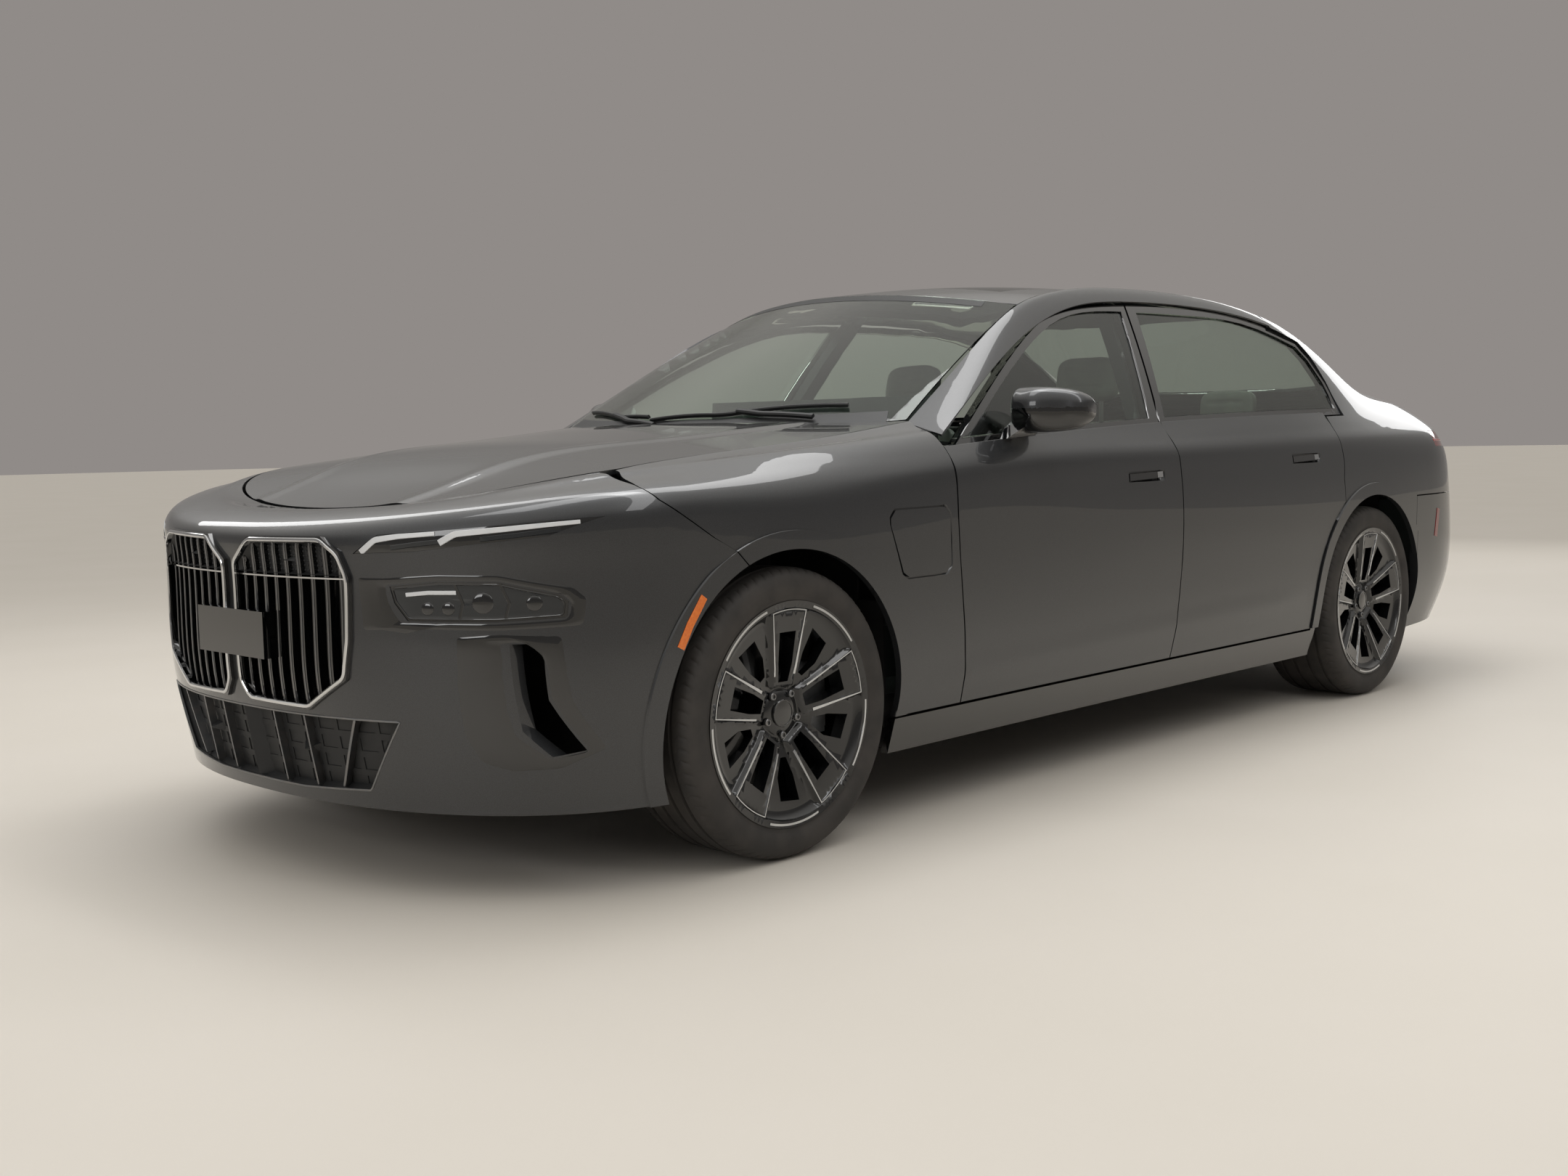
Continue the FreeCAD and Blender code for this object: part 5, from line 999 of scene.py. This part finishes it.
class SEDAN_OT_stage(bpy.types.Operator):
    """Camera, pale floor and soft studio light"""

    bl_idname = "sedan.stage"
    bl_label = "Stage"

    def execute(self, context):
        self.camera(context.scene)
        self.floor(context.scene)
        self.world(context.scene)
        self.lamps(context.scene)
        context.scene.view_settings.view_transform = "Standard"
        return {"FINISHED"}

    @staticmethod
    def camera(scene):
        camera = bpy.data.objects.new("camera", bpy.data.cameras.new("camera"))
        scene.collection.objects.link(camera)
        scene.camera = camera
        yaw, pitch, roll = (math.radians(a) for a in CAMERA_ANGLES)
        f = Vector((-math.sin(yaw) * math.cos(pitch), math.cos(yaw) * math.cos(pitch), math.sin(pitch)))
        r = f.cross(Vector((0, 0, 1))).normalized()
        u = r.cross(f)
        right, up = math.cos(roll) * r + math.sin(roll) * u, -math.sin(roll) * r + math.cos(roll) * u
        turn = Matrix((right, up, -f)).transposed().to_4x4()
        x, y, z = CAMERA_PLACE
        camera.matrix_world = Matrix.Translation((x, y + AXLE_FRONT * MM, z)) @ turn
        camera.data.lens = FOCAL_PIXELS * SENSOR_WIDTH / FRAME_PIXELS
        camera.data.sensor_width = SENSOR_WIDTH
        camera.data.clip_end = 200
        camera.data.clip_start = 0.05

    @staticmethod
    def floor(scene):
        """Flat disc, 60 m in radius, whose far edge reads as the foot of the wall."""
        sides = 96
        angle = np.linspace(0, 2 * math.pi, sides, endpoint=False)
        radius = np.array(FLOOR_RINGS)[:, None] * 1000
        ring = np.stack((radius * np.cos(angle), radius * np.sin(angle), 0 * radius * angle), -1)
        faces = strip_faces(len(FLOOR_RINGS), sides, close_v=True).tolist()
        mesh = bpy.data.meshes.new("floor")
        mesh.from_pydata((ring.reshape(-1, 3) * MM).tolist(), [], faces)
        floor = bpy.data.objects.new("floor", mesh)
        scene.collection.objects.link(floor)
        # Epoxy rolled on concrete: pale and dull, with slow clouds of tone
        tone = finish_of("floor_paint_pale", "#D0CAC1", 0.6, spots=(900.0, "#CCC6BC", 0.5))
        tone.node_tree.nodes["Mix"].inputs["A"].default_value = scene.sedan_stage.floor
        floor.data.materials.append(tone)

    @staticmethod
    def world(scene):
        """Soft sky as light, and a plain wall colour where the camera looks past the car."""
        world = bpy.data.worlds.new("studio")
        scene.world = world
        world.use_nodes = True
        tree = world.node_tree
        tree.nodes.clear()
        place = add(tree, "ShaderNodeTexCoord")
        split = add(tree, "ShaderNodeSeparateXYZ", [(place.outputs["Generated"], 0)])
        ramp = add(tree, "ShaderNodeValToRGB", [(split.outputs["Z"], 0)])
        ends = ramp.color_ramp.elements
        for end, (position, code) in ((ends[0], SKY_TONES[0]), (ends[1], SKY_TONES[-1])):
            end.position = position
            end.color = colour(code)
        for position, code in SKY_TONES[1:-1]:
            ends.new(position).color = colour(code)
        light = add(tree, "ShaderNodeBackground", [(ramp.outputs["Color"], 0)], Strength=1.08)
        seen = add(tree, "ShaderNodeBackground", Strength=1.0)
        seen.inputs["Color"].default_value = colour("#908B88")
        path = add(tree, "ShaderNodeLightPath")
        rays = [(path.outputs["Is Camera Ray"], 0), (path.outputs["Is Transmission Ray"], 1)]
        either = add(tree, "ShaderNodeMath", rays, operation="MAXIMUM")
        mix = add(tree, "ShaderNodeMixShader", [(either.outputs[0], 0), (light.outputs[0], 1),
                                                (seen.outputs[0], 2)])
        out = add(tree, "ShaderNodeOutputWorld")
        tree.links.new(mix.outputs[0], out.inputs[0])

    @staticmethod
    def lamps(scene):
        for name, place, aim, size, power in LAMPS:
            data = bpy.data.lights.new(name, "AREA")
            data.shape = "RECTANGLE"
            data.size, data.size_y = size
            data.energy = power * scene.sedan_stage.level
            lamp = bpy.data.objects.new(name, data)
            scene.collection.objects.link(lamp)
            lamp.location = place
            lamp.rotation_euler = (Vector(aim) - Vector(place)).to_track_quat("-Z", "Y").to_euler()


class SEDAN_OT_panels(bpy.types.Operator):
    """Lacquered panels of the body"""

    bl_idname = "sedan.panels"
    bl_label = "Panels"

    def execute(self, context):
        nodes = MATERIAL["paint"].node_tree.nodes
        nodes["Principled BSDF"].inputs["Metallic"].default_value = context.scene.sedan_paint.flake
        nodes["Mix"].inputs["A"].default_value = context.scene.sedan_paint.tone
        for word in ("left", "right"):
            panel("fender_" + word, ("front",), fine=side_fine)
            for end in ("front", "rear"):
                panel(f"door_{end}_{word}", ("side", "window"), second="black_trim", where=above_belt,
                      fine=side_fine)
        panel("front_bumper", ("front",), fine=side_fine)
        panel("bonnet", ("bonnet",), fine=bonnet_fine)
        panel("boot_lid", ("boot", "boot_back", "rear"))
        panel("body_frame", ("roof", "side", "rear"), fine=side_fine)
        panel("rear_bumper", ("rear", "side"), fine=side_fine)
        panel("charge_flap", ("front",), fine=side_fine)
        panel("fuel_flap", ("side", "rear"), fine=side_fine)
        return {"FINISHED"}


class SEDAN_OT_glass(bpy.types.Operator):
    """Windows, windscreen and glass roof"""

    bl_idname = "sedan.glass"
    bl_label = "Glass"

    def execute(self, context):
        for end in ("front", "rear"):
            for word in ("left", "right"):
                node = f"door_glass_{end}_{word}"
                dress(node, "pane_" + node[11:], "window_glass", ("window",), longest=90.0)
        dress("windscreen", "pane_windscreen", "window_glass", ("windscreen",), longest=90.0)
        dress("rear_window", "pane_rear_window", "window_glass", ("rear_window",), longest=90.0)
        dress("roof_glass", "pane_roof", "dark_glass", ("roof",), longest=90.0)
        return {"FINISHED"}


class SEDAN_OT_running_gear(bpy.types.Operator):
    """Finishes of the wheels and of what is under the car"""

    bl_idname = "sedan.running_gear"
    bl_label = "Running gear"

    def execute(self, context):
        for node in ("floor_pan", "front_subframe", "rear_subframe"):
            clothe(node, "underbody")
        for node in ("engine_block", "knuckle_left", "knuckle_right"):
            clothe(node, "cast")
        for end in ("front", "rear"):
            for word in ("left", "right"):
                wheel = Wheel(end, word)
                dress(f"rim_{end}_{word}", f"wheel_{end}_{word}", "wheel_metal", ())
                tyre = shown(f"rubber_{end}_{word}", *wheel.tyre(), "tyre", wheel.body)
                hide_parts(f"tyre_{end}_{word}")
                shown(f"turned_edges_{end}_{word}", *wheel.edges(), "wheel_face", wheel.body, smooth=30)
                shown(f"hub_cap_{end}_{word}", *wheel.cap(), "black_trim", wheel.body)
                shown(f"wheel_bolts_{end}_{word}", *wheel.bolts(), "steel", wheel.body)
                shown(f"caliper_{end}_{word}", *wheel.caliper(), "cast", wheel.carrier)
        return {"FINISHED"}


# Trims on the nose, the tail and the sides. Outlines are drawn across and up, on the left half
XZ, YZ, PLAN = (0, 2), (1, 2), (0, 1)
SLAT_FIRST, SLAT_PITCH, SLATS = 52, 44, 9
KIDNEY = ((18, 775), (95, 834), (365, 838), (418, 805), (440, 745), (436, 600), (420, 510), (290, 432),
          (55, 436), (20, 480))
HEADLAMP = ((535, 727), (640, 738), (750, 736), (840, 706), (852, 690), (850, 655), (750, 648), (575, 650),
            (545, 690))
RECESS = ((447, 748), (520, 748), (640, 756), (752, 754), (862, 722), (878, 694), (872, 632), (752, 626),
          (600, 630), (560, 618), (505, 626), (449, 624))
AIR_SLOT = ((768, 598), (808, 598), (820, 560), (822, 470), (858, 350), (812, 338), (776, 400))
AIR_FRAME = ((662, 616), (748, 624), (846, 624), (852, 560), (856, 470), (884, 352), (822, 308), (742, 298),
             (684, 318), (660, 384))
INTAKE_EDGE = ((0, 418), (538, 418), (425, 248), (200, 236), (0, 236))
INTAKE_BACK = ((0, 424), (548, 424), (436, 242), (203, 229), (0, 229))
# Step in mm between the points that stand for a single one, so that no two are the same
POINT_STEP = 1e-3
DIFFUSER = ((0, 318), (300, 318), (560, 330), (640, 352), (690, 330), (600, 236), (300, 232), (0, 232))


def inset(points, distance):
    """A closed outline moved inwards by a distance, corner by corner."""
    p = np.asarray(points, float)
    before, after = p - np.roll(p, 1, 0), np.roll(p, -1, 0) - p
    turn = np.sign((p[:, 0] * np.roll(p[:, 1], -1) - np.roll(p[:, 0], -1) * p[:, 1]).sum())
    n1, n2 = (np.stack((-d[:, 1], d[:, 0]), 1) * turn / np.linalg.norm(d, axis=1, keepdims=True)
              for d in (before, after))
    return p + distance * (n1 + n2) / (1 + (n1 * n2).sum(1, keepdims=True))


def strip_on(surface, axes, path, width, low, high, count=90, closed=False, rounding=0.0, edge=0.8):
    """Bar with bevelled edges along a line drawn on a surface; low and high are heights above the surface."""
    flat = resample(path, count, closed, rounding)
    points, normal = SURFACES[surface].lift(flat, axes)
    half = np.broadcast_to(np.asarray(width, float), (count,))[:, None] / 2
    across = np.hstack((-half, -half, -half + edge, half - edge, half, half))
    up = np.array((low, high - edge, high, high, high - edge, low)) * np.ones_like(half)
    return carried(points, normal, np.stack((across, up), -1), closed)


def nose_strip(path, width, low, high, count, **more):
    return strip_on("front", XZ, path, width, low, high, count, **more)


def nose_sheet(outer, inner, out, count, rows, rounding=6.0):
    """Thin panel on the nose. Where inner is a point, the panel is closed up to it."""
    if len(np.shape(inner)) == 1:
        inner = [(inner[0], inner[1] + POINT_STEP * i) for i in range(6)]
    return sheet_on("front", XZ, outer, inner, out, count, rows, rounding)


def sheet_on(surface, axes, outer, inner, out, count, rows, rounding):
    """Thin panel on a surface between two closed outlines."""
    a, b = resample(outer, count, True, rounding), resample(inner, count, True, rounding)
    start = np.argmin(np.linalg.norm(b - a[0], axis=1))
    b = np.roll(b, -start, 0)
    t = np.linspace(0, 1, rows)[:, None, None]
    flat = (a[None] * (1 - t) + b[None] * t).reshape(-1, 2)
    edge = np.repeat(np.array([-1.5] + [out] * (rows - 2) + [-1.5]), count)
    points, _ = SURFACES[surface].lift(flat, axes, edge)
    return points, strip_faces(rows, count, close_v=True).tolist()


def dome(at, out, radius, height, count, rows):
    """Shallow round dome on a point of the nose."""
    points, normals = SURFACES["front"].lift([at], XZ, out)
    centre, normal = points[0], Surface.unit(normals[0])
    side = Surface.unit(np.cross(normal, (0.31, 0.17, 0.93)))
    other = np.cross(normal, side)
    t = np.linspace(0, math.pi / 2, rows)[:, None]
    a = np.linspace(0, 2 * math.pi, count, endpoint=False)
    ring = (np.cos(t)[..., None] * radius * (np.cos(a)[:, None] * side + np.sin(a)[:, None] * other)
            + np.sin(t)[..., None] * height * normal)
    return centre + ring.reshape(-1, 3), strip_faces(rows, count, close_v=True).tolist()


def nose_trims():
    """Name, material and geometry of the nose's left half; both halves are shown as one piece."""
    yield from grille_trims()
    yield from lamp_trims()
    yield "lamp_recess", "black_trim", nose_sheet(RECESS, inset(HEADLAMP, -1), 0.7, 200, 6)
    yield "air_frames", "black_trim", nose_sheet(AIR_FRAME, inset(AIR_SLOT, -1), 0.8, 180, 6)
    yield "intake_edges", "steel", nose_strip(INTAKE_EDGE, 5.0, -4.0, 1.6, 120)
    middle = [(230 + POINT_STEP * i, 330) for i in range(6)]
    yield "intake_back", "black_plastic", nose_sheet(INTAKE_BACK, middle, -28.0, 150, 9, 2)
    struts = [nose_strip(((x, 238), (x, 416)), 5.0, -26.0, -6.0, 20) for x in (1, 124, 245)]
    struts.append(nose_strip(((335, 246), (412, 416)), 7.0, -26.0, -6.0, 24))
    yield "intake_struts", "steel", joined(*struts)
    marker = ((AXLE_FRONT - 296, 679), (AXLE_FRONT - 340, 618), (AXLE_FRONT - 368, 566))
    yield "side_markers", "amber_lens", strip_on("front", YZ, marker, 20.0, -1.0, 9.5, 30)


def grille_trims():
    """Bright ring, edges of the slats, and the cover with its rows of bumps between the slats."""
    ring = nose_strip(inset(KIDNEY, 9), 8.5, 6.0, 12.5, 260, closed=True, rounding=14, edge=1.6)
    yield "grille_rings", "bright_trim", ring
    edges = []
    limit = inset(KIDNEY, 15)
    for x in SLAT_FIRST + SLAT_PITCH * np.arange(SLATS):
        z = [a[1] + (b[1] - a[1]) * (x - a[0]) / (b[0] - a[0]) for a, b in zip(limit, np.roll(limit, -1, 0))
             if (a[0] - x) * (b[0] - x) < 0]
        edges.append(nose_strip(((x, min(z)), (x, max(z))), 3.6, -7.0, -4.2, 40))
    yield "slat_edges", "steel", joined(*edges)
    yield "grille_line", "bright_trim", nose_strip(((34, 741), (426, 741)), 5.0, -8.0, -2.6, 50)
    cover = ((30, 748), (30, 770), (98, 821), (360, 825), (408, 796), (424, 748))
    yield "grille_cover", "black_plastic", nose_sheet(cover, (228, 780), -16.0, 120, 8, 4)
    bumps = []
    for x in np.arange(42, 420, 11.0):
        for z in np.arange(757, 818, 11.0):
            inside = z < 748 + 73 * min(1, (x - 30) / 68, (424 - x) / 20 + 0.5)
            if inside and abs((x - SLAT_FIRST + SLAT_PITCH / 2) % SLAT_PITCH - SLAT_PITCH / 2) > 8:
                bumps.append(dome((x, z), -16.5, 3.4, 3.2, 10, 4))
    yield "cover_bumps", "black_plastic", joined(*bumps)


def lamp_trims():
    """Light guides of the upper lamps, and the bowl, frames, bar and lenses of the lower ones."""
    guides = (((470, 803), (506, 832), (560, 840), (640, 846)),
              ((650, 825), (680, 845), (760, 853), (868, 866)))
    widths = np.linspace(15, 9, 60)
    upper = [nose_strip(g, widths, -3.0, -0.4, 60, rounding=6, edge=1.0) for g in guides]
    yield "lamp_guides", "lamp_core", joined(*upper)
    guides = (((545, 814), (600, 822), (660, 829)), ((726, 832), (790, 840), (846, 850)))
    lower = [nose_strip(g, 11.0, -3.0, -0.8, 40, rounding=8, edge=1.0) for g in guides]
    yield "lamp_low_guides", "lamp_bowl", joined(*lower)
    lens = inset(HEADLAMP, 5)
    yield "headlamp_bowls", "lamp_bowl", nose_sheet(lens, (702, 692), -1.2, 140, 9, 4)
    rims = [nose_strip(lens, 3.5, -2.5, 0.6, 160, closed=True, rounding=6)]
    for x in (688, 768):
        rims.append(nose_strip(((x - 6, 656), (x, 690), (x - 14, 732)), 7.0, -2.5, 0.4, 24))
    yield "headlamp_frames", "black_trim", joined(*rims)
    bar = nose_strip(((572, 709), (620, 714), (676, 714)), 9.0, -2.0, 0.3, 40)
    yield "headlamp_bars", "lamp_core", bar
    lenses = ((618, 678, 15), (660, 678, 15), (724, 690, 24), (806, 688, 18))
    glass = [dome((x, z), -1.6, size, 4.0, 32, 8) for x, z, size in lenses]
    yield "projector_lenses", "black_trim", joined(*glass)


def side_trims():
    """Name, material and geometry of the left doors' handles."""
    for name, middle, z in (("handles_front", DOOR_MIDDLE - 190, 893),
                            ("handles_rear", DOOR_REAR - 290, 922)):
        blade = ((middle - 96, z - 1), (middle + 62, z + 3))
        tip = ((middle + 66, z + 3), (middle + 98, z + 4))
        yield name, "black_trim", strip_on("side", YZ, blade, 25.0, -12.0, -1.5, 24, edge=2.5)
        yield name + "_tips", "wheel_face", strip_on("side", YZ, tip, 22.0, -12.0, -2.5, 12, edge=2.0)


def tail_trims():
    """Name, material, body and geometry of the pieces on the tail's left half."""
    for name, material, body, path, width, low, high, count in (
            ("tail_bars", "lamp_red", "car_body", ((612, 957), (760, 962), (926, 968)), 7.0, -3.0, -0.6, 50),
            ("lid_bars", "lamp_red", "boot_lid", ((490, 958), (592, 957)), 7.0, -3.0, -0.6, 20),
            ("lid_strip", "bright_trim", "boot_lid", ((0, 972), (470, 972)), 12.0, -1.0, 2.2, 60)):
        yield name, material, body, strip_on("rear", XZ, path, width, low, high, count)
    line = ((AXLE_FRONT + 3790, 578), (AXLE_FRONT + 3812, 690))
    yield "rear_reflectors", "red_lens", "car_body", strip_on("rear", YZ, line, 30.0, -1.0, 1.8, 20)
    middle = [(300 + 0.01 * i, 276) for i in range(8)]
    diffuser = sheet_on("rear", XZ, DIFFUSER, middle, 0.8, 150, 9, 2)
    yield "diffuser", "black_plastic", "car_body", diffuser
    line = ((0, 322), (300, 322), (560, 334), (642, 356))
    yield "diffuser_edge", "steel", "car_body", strip_on("rear", XZ, line, 5.0, -1.0, 2.4, 60)


def screen_trims():
    """Name and geometry of the windscreen's printed black border and of the wipers."""
    def on_glass(path, width, low, high, count, **more):
        return strip_on("windscreen", PLAN, path, width, low, high, count, **more)

    x = np.linspace(-690, 690, 90)
    base = np.stack((x, AXLE_FRONT + 470 + 254 * (x / 752) ** 2), 1)
    x = np.linspace(-560, 560, 70)
    top = np.stack((x, AXLE_FRONT + 1192 + 150 * (x / 640) ** 2), 1)
    yield "windscreen_border_low", on_glass(base, 62.0, -1.0, 0.5, 90, edge=0.3)
    yield "windscreen_border_top", on_glass(top, 40.0, -1.0, 0.5, 70, edge=0.3)
    blades = (((-90, 492), (200, 520), (560, 668)), ((-600, 690), (-300, 545), (-120, 512)))
    arms = (((500, 585), (330, 545), (240, 540)), ((-40, 462), (-200, 500), (-340, 565)))
    ahead = (0, AXLE_FRONT)
    parts = [on_glass(np.add(b, ahead), 9.0, 3.0, 15.0, 50, rounding=40, edge=3.0) for b in blades]
    parts += [on_glass(np.add(a, ahead), 16.0, 8.0, 20.0, 40, rounding=20, edge=4.0) for a in arms]
    yield "wipers", joined(*parts)


def mirror_glass():
    """Left mirror's glass: a rounded plate on the housing's rear face."""
    middle, half, count = np.array((990, 0, 1103)), (86, 47), 64
    t = np.linspace(0, 2 * math.pi, count, endpoint=False)
    c, d = (half[i] * np.sign(f) * np.abs(f) ** 0.6 for i, f in enumerate((np.cos(t), np.sin(t))))
    ring = np.stack((c, 0 * t, d), -1)
    rows = [ring * share + middle + (0, MIRROR_REAR + y, 0)
            for share, y in ((1, -6), (1, 1.5), (0.96, 2.5), (0.6, 2.5), (0.02, 2.5))]
    return np.vstack(rows), strip_faces(len(rows), count, close_v=True).tolist()


# Seats
SEAM_WIDTH = 7.0
SEAT_SIDE = 400
SEAT_ROW, BENCH_ROW = AXLE_FRONT + 1400, AXLE_REAR
SEAT_SEAMS, BENCH_SEAMS = (-0.3, 0.3), (-0.62, -0.24, 0.24, 0.62)


def pad(centre, half, lean, crown, grooves=(), wings=0.0, taper=0.0, drop=0.0, power=6.0, count=30):
    """Crowned closed cushion: a rounded box whose sides pull in, with sewn grooves and raised wings.

    centre and half are in mm (half: across, along, through); lean is the angle of its length from level.
    Its skin is a cube's grid put on a superellipsoid: each point is divided by its own power norm. It is
    then narrowed by a parabola towards the middle of each side, raised by crown times the product of two
    parabolas, and sunk along each seam by a bell curve 7 mm wide.
    """
    u = np.tan(np.linspace(-1, 1, count) * math.pi / 4)
    a, b = np.meshgrid(u, u, indexing="ij")
    one = np.ones_like(a)
    sides, faces = [], []
    for axis in range(3):
        for sign in (-1, 1):
            grid = [a, b]
            grid.insert(axis, sign * one)
            sides.append(np.stack(grid, -1).reshape(-1, 3))
            faces.append(strip_faces(count, count) + len(faces) * count * count)
    cube = np.vstack(sides)
    q = cube / ((np.abs(cube) ** power).sum(1, keepdims=True) ** (1 / power))
    x, t, n = q.T.copy()
    px = x * half[0] * (1 - 0.025 * (1 - t * t))
    pt = t * half[1] * (1 - 0.03 * (1 - x * x))
    top = np.clip(n * 1.6 - 0.2, 0, 1)
    pn = n * (half[2] - taper * t) + top * crown * (1 - x * x) * (1 - t * t)
    pn = pn + top * wings * np.clip((np.abs(x) - 0.62) / 0.2, 0, 1) ** 2 * (1 - t ** 4)
    pn = pn - np.clip(-n, 0, 1) * drop * np.clip((-t - 0.1) / 0.3, 0, 1)
    window = np.clip((0.86 - np.abs(t)) / 0.1, 0, 1)
    for place in grooves:
        pn = pn - top * window * 6.0 * np.exp(-((px - place * half[0]) / SEAM_WIDTH) ** 2)
    for place in (-0.42, 0.42):
        across = np.clip((0.66 - np.abs(x)) / 0.08, 0, 1)
        pn = pn - top * across * 5.0 * np.exp(-((pt - place * half[1]) / SEAM_WIDTH) ** 2)
    c, d = math.cos(math.radians(lean)), math.sin(math.radians(lean))
    points = np.stack((centre[0] + px, centre[1] + pt * c - pn * d, centre[2] + pt * d + pn * c), -1)
    return points, np.vstack(faces).tolist()


def boxes(*limits):
    """Plain boxes from their limits, for seat bases and headrest posts."""
    faces = [(0, 1, 3, 2), (4, 6, 7, 5), (0, 4, 5, 1), (2, 3, 7, 6), (0, 2, 6, 4), (1, 5, 7, 3)]
    parts = []
    for x0, x1, y0, y1, z0, z1 in limits:
        p = np.array([(x, y, z) for x in (x0, x1) for y in (y0, y1) for z in (z0, z1)], float)
        parts.append((p, faces))
    return joined(*parts)


class SEDAN_OT_plain_parts(bpy.types.Operator):
    """Finishes of the nose's, tail's and cabin's own parts"""

    bl_idname = "sedan.plain_parts"
    bl_label = "Plain parts"

    def execute(self, context):
        dress("front_grille", "grille", "black_trim", (), "black_plastic", below_grille)
        dress("headlamps", "lamp_covers", "black_trim", ("front",))
        dress("tail_lamps", "tail_lamp_covers", "red_lens", ("rear",))
        dress("lid_lamps", "lid_lamp_covers", "red_lens", ("rear",))
        dress("sill_trims", "sills", "black_trim", ("side",))
        for word in ("left", "right"):
            dress("mirror_" + word, "mirror_housing_" + word, "paint", (), "black_trim", low_mirror)
        dress("dashboard", "cabin_dashboard", "cabin_plastic", ())
        dress("steering_wheel", "cabin_steering_wheel", "cabin_plastic", ())
        return {"FINISHED"}


def below_grille(p):
    """Faces of the lower intake's net."""
    return p[:, 2] < 430


def low_mirror(p):
    """Faces of a mirror's housing below its cap, and its foot."""
    return (p[:, 2] < 1108) | (p[:, 1] > MIRROR_REAR - 8)


def clothe(node, slot):
    """Gives a CAD node that stays its finish."""
    mesh = FRAME["nodes"][node].data
    mesh.materials.clear()
    mesh.materials.append(MATERIAL[slot])


class SEDAN_OT_seats(bpy.types.Operator):
    """Leather seats with crowned cushions, backs and headrests"""

    bl_idname = "sedan.seats"
    bl_label = "Seats"

    def execute(self, context):
        for word, sign in (("left", 1), ("right", -1)):
            self.front_seat(word, SEAT_SIDE * sign, SEAT_ROW)
        self.bench(BENCH_ROW)
        return {"FINISHED"}

    def front_seat(self, word, x, y):
        cushion = self.soft("seat_cushion_" + word, centre=(x, y + 256, 424), half=(246, 258, 84), lean=-3.6,
                            crown=6, grooves=SEAT_SEAMS, wings=14)
        if word == "left":
            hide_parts("front_seats")
        self.soft("seat_back_" + word, centre=(x, y + 614, 786), half=(244, 300, 52), lean=72.7, crown=6,
                  grooves=SEAT_SEAMS, wings=14, taper=14)
        self.soft("seat_headrest_" + word, centre=(x, y + 727, 1214), half=(126, 80, 36), lean=80, crown=4,
                  power=4.0, count=22)
        posts = [(x + p - 6, x + p + 6, y + 712, y + 724, 1060, 1160) for p in (-60, 60)]
        shown("seat_posts_" + word, *boxes(*posts), "steel", "car_body")
        base = boxes((x - 220, x + 220, y + 25, y + 475, 226, 350))
        shown("seat_base_" + word, *base, "cabin_plastic", "car_body")

    def bench(self, y):
        cushion = self.soft("rear_cushion", centre=(0, y - 384, 480), half=(622, 254, 56), lean=-4, crown=5,
                            grooves=BENCH_SEAMS, drop=70, power=8.0, count=44)
        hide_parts("rear_seat")
        self.soft("rear_back", centre=(0, y - 84, 745), half=(622, 282, 42), lean=82.5, crown=4,
                  grooves=BENCH_SEAMS, taper=22, power=8.0, count=44)
        for word, sign in (("left", 1), ("right", -1)):
            self.soft("rear_headrest_" + word, centre=(390 * sign, y - 75, 1102), half=(120, 80, 26), lean=86,
                      crown=3, power=4.0, count=22)
        base = boxes(*((*x, y - 615, y - 465, 226, 420) for x in ((152, 600), (-600, -152))))
        shown("rear_seat_base", *base, "cabin_plastic", "car_body")

    @staticmethod
    def soft(name, **form):
        piece = shown(name, *pad(**form), "cabin_leather", "car_body", smooth=60)
        return piece


class SEDAN_OT_trims(bpy.types.Operator):
    """Grille rings, lamp insides, recesses, markers, handles and other trims"""

    bl_idname = "sedan.trims"
    bl_label = "Trims"

    def execute(self, context):
        for name, material, (points, faces) in nose_trims():
            shown(name, *both_sides(points, faces), material, "car_body", smooth=40)
        for name, material, body, (points, faces) in tail_trims():
            shown(name, *both_sides(points, faces), material, body, smooth=40)
        for name, (points, faces) in screen_trims():
            shown(name, points, faces, "black_plastic", "car_body", smooth=40)
        points, faces = mirror_glass()
        for word, sign in (("left", 1), ("right", -1)):
            shown("mirror_glass_" + word, points * (sign, 1, 1), faces, "mirror_silver", "door_front_" + word)
        for name, material, (points, faces) in side_trims():
            door = "door_front_" if "front" in name else "door_rear_"
            for word, sign in (("left", 1), ("right", -1)):
                shown(f"{name}_{word}", points * (sign, 1, 1), faces, material, door + word, smooth=40)
        return {"FINISHED"}


OPERATORS = (SEDAN_OT_stage, SEDAN_OT_panels, SEDAN_OT_glass, SEDAN_OT_running_gear, SEDAN_OT_plain_parts,
             SEDAN_OT_seats, SEDAN_OT_trims)


class SEDAN_PT_panel(bpy.types.Panel):
    """Lists the pieces of the sedan"""

    bl_idname = "SEDAN_PT_panel"
    bl_label = "Sedan"
    bl_space_type = "VIEW_3D"
    bl_region_type = "UI"
    bl_category = "Sedan"

    def draw(self, context):
        for group in (context.scene.sedan_paint, context.scene.sedan_stage):
            for name in group.bl_rna.properties.keys():
                if name not in ("rna_type", "name"):
                    self.layout.prop(group, name)
        for operator in OPERATORS:
            self.layout.operator(operator.bl_idname)


CLASSES = (SedanPaint, SedanStage) + OPERATORS + (SEDAN_PT_panel,)


def register():
    for cls in CLASSES:
        bpy.utils.register_class(cls)
    bpy.types.Scene.sedan_paint = bpy.props.PointerProperty(type=SedanPaint)
    bpy.types.Scene.sedan_stage = bpy.props.PointerProperty(type=SedanStage)


def unregister():
    del bpy.types.Scene.sedan_stage
    del bpy.types.Scene.sedan_paint
    for cls in reversed(CLASSES):
        bpy.utils.unregister_class(cls)


def main():
    """Builds every piece in order."""
    register()
    MATERIAL.update(make_materials())
    for operator in OPERATORS:
        group, name = operator.bl_idname.split(".")
        getattr(getattr(bpy.ops, group), name)()


if __name__ == "__main__":
    main()
